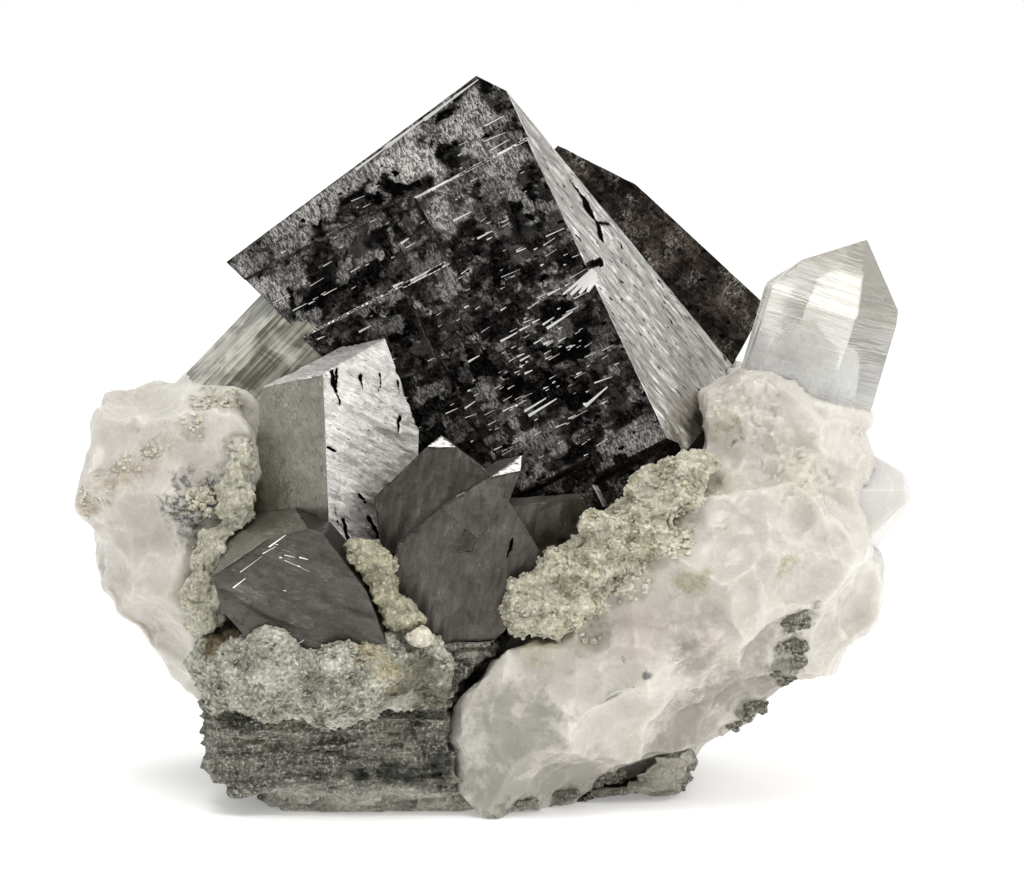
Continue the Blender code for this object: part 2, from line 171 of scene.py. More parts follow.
def tilted_facets(tree: Tree, place: Socket, width: float) -> tuple[Socket, Socket]:
    """Draws a height that breaks a surface into small flat facets, each tilted its own way.

    Args:
        tree: the material's node tree.
        place: the place on the piece, in metres.
        width: a facet's width in millimetres.

    Returns:
        The height's socket, and one random value for each facet.
    """
    scale = 1.0 / (width * MM)
    cells = add_node(tree, "TexVoronoi", {"Vector": place, "Scale": scale}).node.outputs
    scaled = add_node(tree, "VectorMath", {0: place, "Scale": scale}, operation="SCALE")
    centre = add_node(tree, "VectorMath", {0: cells["Position"], "Scale": scale}, operation="SCALE")
    away = add_node(tree, "VectorMath", {0: scaled, 1: centre}, operation="SUBTRACT")
    tilt = add_node(tree, "VectorMath", {0: cells["Color"], 1: (0.5, 0.5, 0.5)}, operation="SUBTRACT")
    height = add_node(tree, "VectorMath", {0: away, 1: tilt}, "Value", operation="DOT_PRODUCT")
    return height, add_node(tree, "SeparateColor", {0: cells["Color"]})


def drawn_out(
    tree: Tree, grain: Socket, size: Pair, detail: float, roughness: float = 0.5, turn: float = 0.0,
    swirl: float = 0.0
) -> Socket:
    """Draws noise that is stretched along the growth lines.

    Args:
        tree: the material's node tree.
        grain: the place along and across the growth lines, in millimetres.
        size: how wide the noise is along and across them.
        detail: how many finer layers it has.
        roughness: how strong these are.
        turn: how far it is turned from the lines, in degrees.
        swirl: how far it is bent.

    Returns:
        The noise's socket.
    """
    stretch = {"Rotation": (0.0, 0.0, math.radians(turn)), "Scale": (1.0 / size[0], 1.0 / size[1], 1.0)}
    places = add_node(tree, "Mapping", {"Vector": grain, **stretch})
    look = {"Detail": detail, "Roughness": roughness, "Distortion": swirl}
    return add_node(tree, "TexNoise", {"Vector": places, "Scale": 1.0, **look})


def varied(tree: Tree, colour: Socket, value: Socket, shades: Pair, span: Pair = (0.0, 1.0)) -> Socket:
    """Makes a colour darker and lighter as a value rises.

    Args:
        tree: the material's node tree.
        colour: the colour.
        value: what it follows.
        shades: what the colour is multiplied by at the two ends.
        span: the value at the two ends.

    Returns:
        The new colour's socket.
    """
    factor = add_node(tree, "MapRange", {0: value, 1: span[0], 2: span[1], 3: shades[0], 4: shades[1]})
    return add_node(tree, "Mix", {0: 1.0, 6: colour, 7: factor}, 2, data_type="RGBA", blend_type="MULTIPLY")


def glowing(weight: float, depth: float, radius: Triple) -> dict[str, object]:
    """Lets light into a shader.

    Args:
        weight: the share of the light that goes in.
        depth: how deep it goes, in millimetres.
        radius: how deep red, green and blue go beside that.

    Returns:
        The shader's inputs.
    """
    return {"Subsurface Weight": weight, "Subsurface Radius": radius, "Subsurface Scale": depth * MM}


def new_material(name: str) -> tuple[Material, Tree, bpy.types.Node]:
    """Makes a material with one shader.

    Args:
        name: the material's name.

    Returns:
        The material, its node tree and its Principled BSDF node.
    """
    material = bpy.data.materials.new(name)
    material.use_nodes = True
    tree = material.node_tree
    return material, tree, tree.nodes["Principled BSDF"]


def lattice(cells: Array, seed: int) -> Array:
    """Gives each whole-number cell a random value.

    Args:
        cells: whole numbers, three for each cell.
        seed: picks the pattern.

    Returns:
        One value from -1 to 1 for each cell.
    """
    mixed = (cells[..., 0] * 73856093) ^ (cells[..., 1] * 19349663) ^ (cells[..., 2] * 83492791)
    mixed = mixed ^ (seed * 374761393)
    mixed = (mixed ^ (mixed >> 13)) * 1274126177
    mixed = mixed ^ (mixed >> 16)
    return (mixed & 0xFFFF) / 32767.5 - 1.0


def smooth_noise(places: Array, seed: int) -> Array:
    """Blends the random values of the eight cells round each place.

    Args:
        places: one row of three numbers for each place, one unit to a cell.
        seed: picks the pattern.

    Returns:
        One value from -1 to 1 for each place.
    """
    cells = np.floor(places).astype(np.int64)
    part = places - cells
    part = part * part * (3.0 - 2.0 * part)
    total = np.zeros(len(places))
    for corner in np.ndindex(2, 2, 2):
        step = np.array(corner)
        share = np.prod(np.where(step == 1, part, 1.0 - part), axis=1)
        total += share * lattice(cells + step, seed)
    return total


def rough_noise(places: Array, octaves: int, seed: int) -> Array:
    """Adds ever finer and weaker layers of smooth noise.

    Args:
        places: one row of three numbers for each place, one unit to the widest bump.
        octaves: how many layers.
        seed: picks the pattern.

    Returns:
        One value for each place, mostly from -1 to 1.
    """
    total = np.zeros(len(places))
    for octave in range(octaves):
        total += smooth_noise(places * 2.03**octave + octave * 17.0, seed + octave) * 0.5**octave
    return total


def grain_noise(places: Array, seed: int) -> Array:
    """Draws round grains: 1 in the middle of a grain and 0 between grains.

    Args:
        places: one row of three numbers for each place, one unit to a grain.
        seed: picks the pattern.

    Returns:
        One value from 0 to 1 for each place.
    """
    cells = np.floor(places).astype(np.int64)
    nearest = np.full(len(places), 9.0)
    for corner in np.ndindex(3, 3, 3):
        cell = cells + np.array(corner) - 1
        centre = cell + 0.5 + 0.42 * np.stack([lattice(cell, seed + axis) for axis in range(3)], axis=1)
        nearest = np.minimum(nearest, np.linalg.norm(places - centre, axis=1))
    return np.clip(1.0 - nearest, 0.0, 1.0)


def facet_noise(places: Array, seed: int) -> Array:
    """Breaks space into cells, each with a flat face tilted its own way.

    Args:
        places: one row of three numbers for each place, one unit to a cell.
        seed: picks the pattern.

    Returns:
        One height for each place, mostly from -0.6 to 0.6.
    """
    cells = np.floor(places).astype(np.int64)
    nearest = np.full(len(places), 9.0)
    height = np.zeros(len(places))
    for corner in np.ndindex(3, 3, 3):
        cell = cells + np.array(corner) - 1
        centre = cell + 0.5 + 0.45 * np.stack([lattice(cell, seed + axis) for axis in range(3)], axis=1)
        tilt = np.stack([lattice(cell, seed + 5 + axis) for axis in range(3)], axis=1)
        away = np.linalg.norm(places - centre, axis=1)
        closer = away < nearest
        nearest[closer] = away[closer]
        height[closer] = np.sum((places - centre) * tilt, axis=1)[closer]
    return height


def level_in(normal: Vector) -> Vector:
    """Finds the level direction in a flat face, or X where the face itself is level."""
    level = Vector((0.0, 0.0, 1.0)).cross(normal)
    return level.normalized() if level.length > NEARLY_LEVEL else Vector((1.0, 0.0, 0.0))


def mark(mesh: Mesh, name: str, values: Array) -> None:
    """Keeps one value for each point of a mesh, which the materials read by its name."""
    mesh.attributes.new(name, "FLOAT", "POINT").data.foreach_set("value", values.astype(np.float32))


def points_of(mesh: Mesh) -> Array:
    """Reads a mesh's points in millimetres, one row for each."""
    flat = np.empty(len(mesh.vertices) * 3)
    mesh.vertices.foreach_get("co", flat)
    return flat.reshape(-1, 3) / MM


def normals_of(mesh: Mesh) -> Array:
    """Reads the normal at each point of a mesh, one row for each."""
    flat = np.empty(len(mesh.vertices) * 3)
    mesh.vertex_normals.foreach_get("vector", flat)
    return flat.reshape(-1, 3)


def keep_inside(points: Array) -> Array:
    """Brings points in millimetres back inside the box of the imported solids."""
    return np.clip(points, np.array(CAD_BOX[0]) / MM, np.array(CAD_BOX[1]) / MM)


def move_points(mesh: Mesh, points: Array) -> None:
    """Gives a mesh new points, in millimetres."""
    mesh.vertices.foreach_set("co", (points * MM).reshape(-1))
    mesh.update()


def merged_copy(node: str) -> bmesh.types.BMesh:
    """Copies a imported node's mesh and joins its loose triangles.

    Args:
        node: the node's name.

    Returns:
        A closed mesh in millimetres.
    """
    bm = bmesh.new()
    bm.from_mesh(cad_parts[node].data)
    bmesh.ops.remove_doubles(bm, verts=bm.verts, dist=1e-7)
    bmesh.ops.scale(bm, vec=(1.0 / MM,) * 3, verts=bm.verts)
    return bm


def new_piece(name: str, bm: bmesh.types.BMesh) -> Piece:
    """Makes an object at the origin from a mesh drawn in millimetres.

    Args:
        name: the object's name.
        bm: the mesh, which is used up.

    Returns:
        The object.
    """
    bmesh.ops.scale(bm, vec=(MM, MM, MM), verts=bm.verts)
    mesh = bpy.data.meshes.new(name)
    bm.to_mesh(mesh)
    bm.free()
    piece = bpy.data.objects.new(name, mesh)
    bpy.context.scene.collection.objects.link(piece)
    return piece


def settle(piece: Piece) -> None:
    """Applies a piece's modifiers to its mesh."""
    graph = bpy.context.evaluated_depsgraph_get()
    old = piece.data
    made = bpy.data.meshes.new_from_object(piece.evaluated_get(graph))
    piece.modifiers.clear()
    piece.data = made
    bpy.data.meshes.remove(old)


def finish_piece(piece: Piece, slot: str, *nodes: str) -> None:
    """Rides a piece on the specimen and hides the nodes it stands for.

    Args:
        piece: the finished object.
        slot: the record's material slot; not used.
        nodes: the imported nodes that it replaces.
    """
    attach(piece, BODY)
    if nodes:
        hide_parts(*nodes)
    log.info("%s: %d faces", piece.name, len(piece.data.polygons))


# Finishes


@dataclass(frozen=True)
class Arsenopyrite:
    """Arsenopyrite, a silver-grey metallic sulphide. Etched faces look black with bright flecks, and fresh
    ones shine like brushed steel; the black of the etched faces is partly painted reflection, standing in
    for the dark room that they face. Patterns follow the "grain" attribute, in millimetres along and across
    a face's growth lines. "tone" says where flecks gather, and "shade" where the colour is darkened: painted
    shade in cracks and in the unlit stretches of ledges, and the front's dark plates, which are its own
    darker tone.
    """

    name: str
    dark: str
    light: str
    tint: str
    roughness: float
    fleck: Pair = (0.25, 0.6)
    fleck_turn: float = 0.0
    fleck_floor: float = 0.15
    fleck_swirl: float = 0.0
    fleck_cut: Pair = (0.5, 0.68)
    patch: float = 6.0
    patch_cut: float = 0.42
    patch_edge: float = 0.24
    lift: float = 0.9
    line: Pair = (7.0, 0.22)
    line_strength: float = 0.2
    pit: Pair = (1.6, 0.45)
    pit_cut: float = 0.27
    pit_edge: float = 0.03
    # The near-black laid into slits and where "shade" is high, and how strongly "shade" counts: painted
    # shade in cracks, slits and unlit ledges, and the front's darker plates
    darkening_colour: str = "#0d0c0b"
    darkening: float = 1.6
    tile: Pair = (2.4, 1.5)
    tile_sizes: tuple[float, ...] = (1.0, 0.36)
    tile_rim: float = 0.09
    tile_strength: float = 0.1
    tile_wander: float = 0.5
    speckle: float = 0.6
    speckle_strength: float = 0.15
    relief: float = 0.03

    def make(self) -> Material:
        """Builds the material."""
        material, tree, shader = new_material(self.name)
        grain = add_node(tree, "Attribute", {}, "Vector", attribute_name="grain")
        tone = add_node(tree, "Attribute", {}, "Fac", attribute_name="tone")
        shade = add_node(tree, "Attribute", {}, "Fac", attribute_name="shade")

        # Etched flecks, thick in some patches and thin in others
        etch = drawn_out(tree, grain, self.fleck, 3.0, 0.65, self.fleck_turn, self.fleck_swirl)
        fleck = add_node(tree, "MapRange", {0: etch, 1: self.fleck_cut[0], 2: self.fleck_cut[1]})
        drift = add_node(
            tree, "TexNoise", {"Vector": grain, "Scale": 1.0 / self.patch, "Detail": 3.0, "Roughness": 0.6}
        )
        patch = add_node(
            tree, "MapRange", {0: drift, 1: self.patch_cut, 2: self.patch_cut + self.patch_edge}
        )
        gathered = add_node(tree, "Math", {0: patch, 1: tone}, operation="MAXIMUM")
        share = add_node(tree, "MapRange", {0: gathered, 3: self.fleck_floor, 4: 1.0})
        flecked = add_node(tree, "Math", {0: fleck, 1: share}, operation="MULTIPLY")

        # Growth lines
        lines = drawn_out(tree, grain, self.line, 4.0, 0.7)
        line = add_node(
            tree, "MapRange", {0: lines, 1: 0.3, 2: 0.7, 3: -self.line_strength, 4: self.line_strength}
        )
        lined = add_node(tree, "Math", {0: flecked, 1: line})
        haze = add_node(tree, "Math", {0: etch, 1: self.lift}, operation="MULTIPLY")
        lit = add_node(tree, "Math", {0: tone, 1: haze, 2: lined}, operation="MULTIPLY_ADD", use_clamp=True)

        # Slits drawn out along the growth lines, painted near-black further down: partly painted shade in
        # these small recesses
        slits = drawn_out(tree, grain, self.pit, 2.0)
        pit = add_node(
            tree, "MapRange", {0: slits, 1: self.pit_cut, 2: self.pit_cut + self.pit_edge, 3: 1.0, 4: 0.0}
        )

        # Growth tiles with ragged square corners, large and small, each a little lighter or darker
        colour = add_node(
            tree, "Mix", {0: drift, 6: linear(self.dark), 7: linear(self.tint)}, 2, data_type="RGBA"
        )
        specks = {"Vector": grain, "Scale": 1.0 / self.speckle}
        wander = add_node(tree, "TexNoise", {**specks, "Detail": 3.0, "Roughness": 0.7}, "Color")
        ragged = add_node(
            tree, "VectorMath", {0: wander, 1: (self.tile_wander,) * 3, 2: grain}, operation="MULTIPLY_ADD"
        )
        for share in self.tile_sizes:
            scale = (1.0 / (self.tile[0] * share), 1.0 / (self.tile[1] * share), 1.0)
            places = add_node(tree, "Mapping", {"Vector": ragged, "Scale": scale})
            tiles = {"Vector": places, "Scale": 1.0}
            square = add_node(tree, "TexVoronoi", tiles, "Color", distance="CHEBYCHEV")
            chance = add_node(tree, "SeparateColor", {0: square})
            colour = varied(tree, colour, chance, (1.0 - self.tile_strength, 1.0 + self.tile_strength))
            rim = add_node(tree, "TexVoronoi", {**tiles, "Randomness": 0.75}, feature="DISTANCE_TO_EDGE")
            colour = varied(tree, colour, rim, (1.0 - self.tile_strength, 1.0), (0.0, self.tile_rim))
        speckle = add_node(tree, "TexNoise", {**specks, "Detail": 4.0, "Roughness": 0.75})
        shades = (1.0 - self.speckle_strength, 1.0 + self.speckle_strength)
        colour = varied(tree, colour, speckle, shades, (0.35, 0.65))
        colour = add_node(tree, "Mix", {0: lit, 6: colour, 7: linear(self.light)}, 2, data_type="RGBA")

        # Painted shade in cracks, slits and the unlit stretches of ledges, together with the front's dark
        # plates of its own tone, all laid on as one near-black
        darkening = add_node(tree, "Math", {0: shade, 1: self.darkening, 2: etch}, operation="MULTIPLY_ADD")
        dark_share = add_node(tree, "MapRange", {0: darkening, 1: 0.85, 2: 1.15})
        blackened = add_node(tree, "Math", {0: pit, 1: dark_share}, operation="MAXIMUM")
        colour = add_node(
            tree, "Mix", {0: blackened, 6: colour, 7: linear(self.darkening_colour)}, 2, data_type="RGBA"
        )
        gloss = add_node(tree, "MapRange", {0: etch, 3: self.roughness - 0.08, 4: self.roughness + 0.12})
        heights = add_node(tree, "Math", {0: flecked, 1: lines}, operation="ADD")
        sunk = add_node(tree, "Math", {0: heights, 1: pit}, operation="SUBTRACT")
        bump = add_node(tree, "Bump", {"Height": sunk, "Strength": 1.0, "Distance": self.relief * MM})
        look = {"Base Color": colour, "Roughness": gloss, "Metallic": 1.0}
        fill(tree, shader, {**look, "Normal": bump})
        return material


@dataclass(frozen=True)
class Spot:
    """A round region: its place, its reach in millimetres and its strength."""

    place: Triple
    reach: float
    strength: float = 1.0


@dataclass(frozen=True)
class Zone:
    """A stained region of a rock, made of round spots with ragged edges. "grainy" is how far it breaks up
    into specks of "speck" millimetres.
    """

    colour: str
    spots: tuple[Spot, ...]
    ragged: float = 1.0
    grainy: float = 0.0
    speck: float = 0.5
    wander: float = 2.4
    softness: float = 0.35

    def mask(self, tree: Tree, place: Socket, edge: Socket) -> Socket:
        """Joins the spots into one mask.

        Args:
            tree: the material's node tree.
            place: the place on the piece, in metres.
            edge: noise round 0.5 that makes the edges ragged.

        Returns:
            The mask's socket, 1 inside.
        """
        mask = None
        for spot in self.spots:
            reach = spot.reach * MM
            point = tuple(value * MM for value in spot.place)
            away = add_node(tree, "VectorMath", {0: place, 1: point}, "Value", operation="DISTANCE")
            wander = reach * self.wander * self.ragged
            ragged = add_node(tree, "Math", {0: edge, 1: wander, 2: away}, operation="MULTIPLY_ADD")
            middle = reach + wander / 2.0
            ends = {1: middle - self.softness * reach, 2: middle + self.softness * reach}
            near = add_node(tree, "MapRange", {0: ragged, **ends, 3: spot.strength, 4: 0.0})
            mask = near if mask is None else add_node(tree, "Math", {0: mask, 1: near}, operation="MAXIMUM")
        if self.grainy == 0.0:
            return mask
        noise = {"Vector": place, "Scale": 1.0 / (self.speck * MM), "Detail": 3.0, "Roughness": 0.7}
        specks = add_node(tree, "TexNoise", noise)
        kept = add_node(tree, "MapRange", {0: specks, 1: 0.42, 2: 0.56, 3: 1.0 - self.grainy, 4: 1.0})
        return add_node(tree, "Math", {0: mask, 1: kept}, operation="MULTIPLY")


def stained(tree: Tree, colour: Socket, zones: tuple[Zone, ...], place: Socket, edge: Socket) -> Socket:
    """Lays each zone's colour over a colour.

    Args:
        tree: the material's node tree.
        colour: the colour underneath.
        zones: the stained regions.
        place: the place on the piece, in metres.
        edge: noise round 0.5 that makes the edges ragged.

    Returns:
        The stained colour's socket.
    """
    for zone in zones:
        mask = zone.mask(tree, place, edge)
        colour = add_node(tree, "Mix", {0: mask, 6: colour, 7: linear(zone.colour)}, 2, data_type="RGBA")
    return colour


@dataclass(frozen=True)
class MilkyQuartz:
    """Massive milky quartz: light goes some millimetres in, so it glows softly under a glassy skin. It
    drifts between warm white, pale pink-grey and the green of mica inside. "sugar" says where it breaks up
    into grains.
    """

    name: str
    white: str = "#d7d3ca"
    pink: str = "#c9c3ba"
    green: str = "#bcb8a5"
    thread: str = "#e9e7e1"
    zones: tuple[Zone, ...] = ()
    drift: float = 10.0
    grain: float = 0.75
    speck: float = 0.45
    sparkle: float = 0.2
    roughness: float = 0.22
    depth: float = 2.0

    def make(self) -> Material:
        """Builds the material."""
        material, tree, shader = new_material(self.name)
        place = add_node(tree, "TexCoord", {}, "Object")
        sugar = add_node(tree, "Attribute", {}, "Fac", attribute_name="sugar")
        drift = self.drift * MM
        clouds = add_node(
            tree, "TexNoise", {"Vector": place, "Scale": 1.0 / drift, "Detail": 4.0, "Distortion": 0.6}
        )
        edge = add_node(
            tree, "TexNoise",
            {"Vector": place, "Scale": 1.0 / (drift * 0.3), "Detail": 8.0, "Roughness": 0.72}
        )
        veil = add_node(tree, "MapRange", {0: clouds, 1: 0.4, 2: 0.6})
        colour = add_node(
            tree, "Mix", {0: veil, 6: linear(self.white), 7: linear(self.pink)}, 2, data_type="RGBA"
        )
        # Healed cracks show as thin white threads
        cracks = add_node(
            tree, "TexNoise",
            {"Vector": place, "Scale": 1.0 / (drift * 1.4), "Detail": 5.0, "Roughness": 0.55}
        )
        off_middle = add_node(tree, "Math", {0: cracks, 1: 0.5}, operation="SUBTRACT")
        near_middle = add_node(tree, "Math", {0: off_middle}, operation="ABSOLUTE")
        thread = add_node(tree, "MapRange", {0: near_middle, 1: 0.0, 2: 0.01, 3: 0.3, 4: 0.0})
        colour = add_node(tree, "Mix", {0: thread, 6: colour, 7: linear(self.thread)}, 2, data_type="RGBA")
        # Green of the mica inside, most of all where it is grainy
        green = add_node(tree, "MapRange", {0: edge, 1: 0.5, 2: 0.68, 4: 0.55})
        tinged = add_node(
            tree, "Math", {0: green, 1: sugar, 2: 0.25}, operation="MULTIPLY_ADD", use_clamp=True
        )
        most = add_node(tree, "Math", {0: green, 1: tinged}, operation="MULTIPLY")
        colour = add_node(tree, "Mix", {0: most, 6: colour, 7: linear(self.green)}, 2, data_type="RGBA")
        colour = stained(tree, colour, self.zones, place, edge)
        speckle = add_node(
            tree, "TexNoise",
            {"Vector": place, "Scale": 1.0 / (self.speck * MM), "Detail": 3.0, "Roughness": 0.7}
        )
        colour = varied(tree, colour, speckle, (0.94, 1.04), (0.3, 0.7))
        facets, chance = tilted_facets(tree, place, self.grain)
        grains = add_node(tree, "MapRange", {0: chance, 3: 0.93, 4: 1.05})
        even = add_node(tree, "Mix", {0: sugar, 2: 1.0, 3: grains}, data_type="FLOAT")
        colour = add_node(
            tree, "Mix", {0: 1.0, 6: colour, 7: even}, 2, data_type="RGBA", blend_type="MULTIPLY"
        )
        fine, _ = tilted_facets(tree, place, self.grain * 0.4)
        both = add_node(tree, "Math", {0: fine, 1: 0.5, 2: facets}, operation="MULTIPLY_ADD")
        grainy = add_node(tree, "Math", {0: both, 1: sugar}, operation="MULTIPLY")
        height = add_node(tree, "Math", {0: edge, 1: 0.7, 2: grainy}, operation="MULTIPLY_ADD")
        gloss = add_node(
            tree, "MapRange", {0: edge, 1: 0.35, 2: 0.65, 3: self.roughness - 0.1, 4: self.roughness + 0.14}
        )
        bump = add_node(tree, "Bump", {"Height": height, "Strength": 1.0, "Distance": self.sparkle * MM})
        look = {"Base Color": colour, "Roughness": gloss, "IOR": QUARTZ_IOR}
        glow = glowing(0.85, self.depth, (1.0, 0.97, 0.92))
        fill(tree, shader, {**look, **glow, "Normal": bump})
        return material


@dataclass(frozen=True)
class ClearQuartz:
    """Clear rock crystal: a plain see-through solid with the index of quartz. Fine steps run across the side
    faces, and they catch the light as white lines.
    """

    name: str
    tint: str = "#fbfbf9"
    veil: str = "#ffffff"
    roughness: float = 0.03
    clearness: float = 0.85
    frost: float = 0.2
    cloud: float = 3.0
    drift: float = 8.0
    frost_heights: Pair = (-7.0, 3.0)
    step: Pair = (30.0, 0.9)
    relief: float = 0.035

    def make(self) -> Material:
        """Builds the material."""
        material, tree, shader = new_material(self.name)
        grain = add_node(tree, "Attribute", {}, "Vector", attribute_name="grain")
        steps = drawn_out(tree, grain, self.step, 3.0, 0.75)
        line = add_node(tree, "MapRange", {0: steps, 1: 0.46, 2: 0.54})
        # The foot is full of fine cracks, so it looks frosted
        height = add_node(tree, "SeparateXYZ", {0: grain}, 1)
        veils = add_node(
            tree, "TexNoise", {"Vector": grain, "Scale": 1.0 / self.cloud, "Detail": 3.0, "Distortion": 0.6}
        )
        level = add_node(tree, "Math", {0: veils, 1: self.drift, 2: height}, operation="MULTIPLY_ADD")
        ends = {number: end + self.drift / 2.0 for number, end in zip((1, 2), self.frost_heights)}
        frosted = add_node(tree, "MapRange", {0: level, **ends, 3: self.frost, 4: self.roughness})
        # The veils whiten the foot, and the tip keeps the warm tint of the glass; the white at the foot is
        # partly painted light, standing in for light that does not reach into the frosted foot
        whiten = add_node(tree, "MapRange", {0: level, **ends, 3: 1.0, 4: 0.0})
        colour = add_node(
            tree, "Mix", {0: whiten, 6: linear(self.tint), 7: linear(self.veil)}, 2, data_type="RGBA"
        )
        bump = add_node(tree, "Bump", {"Height": line, "Strength": 1.0, "Distance": self.relief * MM})
        look = {"Base Color": colour, "Roughness": frosted, "IOR": QUARTZ_IOR}
        clear = {"Transmission Weight": self.clearness}
        fill(tree, shader, {**look, **clear, "Normal": bump})
        return material


@dataclass(frozen=True)
class StreakedQuartz:
    """Glassy quartz full of veils: grey-green streaks and white clouds run along the crystal under a bright
    skin, so it glows but nothing shows through. "grain" gives millimetres round and along the crystal.
    """

    name: str
    dark: str
    light: str
    streak: Pair = (0.4, 14.0)
    cloud: float = 4.0
    roughness: float = 0.08
    relief: float = 0.03

    def make(self) -> Material:
        """Builds the material."""
        material, tree, shader = new_material(self.name)
        grain = add_node(tree, "Attribute", {}, "Vector", attribute_name="grain")
        streaks = drawn_out(tree, grain, self.streak, 5.0, 0.6)
        clouds = add_node(
            tree, "TexNoise", {"Vector": grain, "Scale": 1.0 / self.cloud, "Detail": 4.0, "Distortion": 1.0}
        )
        both = add_node(tree, "Math", {0: streaks, 1: clouds}, operation="ADD")
        veil = add_node(tree, "MapRange", {0: both, 1: 0.86, 2: 1.24})
        colour = add_node(
            tree, "Mix", {0: veil, 6: linear(self.dark), 7: linear(self.light)}, 2, data_type="RGBA"
        )
        bump = add_node(tree, "Bump", {"Height": streaks, "Strength": 1.0, "Distance": self.relief * MM})
        look = {"Base Color": colour, "Roughness": self.roughness, "IOR": QUARTZ_IOR}
        glow = glowing(0.6, 1.2, (1.0, 0.97, 0.9))
        fill(tree, shader, {**look, **glow, "Normal": bump})
        return material


@dataclass(frozen=True)
class Mineral:
    """A dull granular mineral, as schist or a mica crust: three colours in grains and drifts, dry and matte,
    with layers where "layer" is more than 0.
    """

    name: str
    dark: str
    middle: str
    light: str
    grain: float
    drift: float
    roughness: float
    bump: float
    layer: float = 0.0
    layer_tilt: float = 0.0
    glint: float = 0.0
    glow: float = 0.0
    zones: tuple[Zone, ...] = ()

    def make(self) -> Material:
        """Builds the material."""
        material, tree, shader = new_material(self.name)
        place = add_node(tree, "TexCoord", {}, "Object")
        drift = add_node(
            tree, "TexNoise",
            {"Vector": place, "Scale": 1.0 / (self.drift * MM), "Detail": 4.0, "Roughness": 0.6}
        )
        grains = add_node(
            tree, "TexNoise",
            {"Vector": place, "Scale": 1.0 / (self.grain * MM), "Detail": 3.0, "Roughness": 0.7}
        )
        low = add_node(tree, "MapRange", {0: drift, 1: 0.41, 2: 0.6})
        height = grains
        if self.layer > 0.0:
            thick = 1.0 / (self.layer * MM)
            turn = (0.0, math.radians(self.layer_tilt), 0.0)
            stretch = {"Rotation": turn, "Scale": (0.12 * thick, 0.12 * thick, thick)}
            flat = add_node(tree, "Mapping", {"Vector": place, **stretch})
            noise = {"Scale": 1.0, "Detail": 4.0, "Roughness": 0.7, "Distortion": 0.4}
            layers = add_node(tree, "TexNoise", {"Vector": flat, **noise})
            height = add_node(tree, "Math", {0: height, 1: layers}, operation="ADD")
            drifted = add_node(tree, "Math", {0: drift, 1: 1.2, 2: height}, operation="MULTIPLY_ADD")
            low = add_node(tree, "MapRange", {0: drifted, 1: 1.35, 2: 1.85})
        colour = add_node(
            tree, "Mix", {0: low, 6: linear(self.dark), 7: linear(self.middle)}, 2, data_type="RGBA"
        )
        high = add_node(tree, "MapRange", {0: grains, 1: 0.52, 2: 0.7})
        colour = add_node(tree, "Mix", {0: high, 6: colour, 7: linear(self.light)}, 2, data_type="RGBA")
        gloss = add_node(
            tree, "MapRange", {0: grains, 1: 0.4, 2: 0.7, 3: self.roughness, 4: self.roughness - self.glint}
        )
        colour = stained(tree, colour, self.zones, place, drift)
        facets, chance = tilted_facets(tree, place, self.grain)
        flakes = add_node(tree, "Math", {0: facets, 1: 0.7, 2: height}, operation="MULTIPLY_ADD")
        colour = varied(tree, colour, chance, (0.72, 1.2))
        bump = add_node(tree, "Bump", {"Height": flakes, "Strength": 1.0, "Distance": self.bump * MM})
        look = {"Base Color": colour, "Roughness": gloss}
        glow = glowing(self.glow, 1.0, (1.0, 0.96, 0.85))
        fill(tree, shader, {**look, **glow, "Normal": bump})
        return material


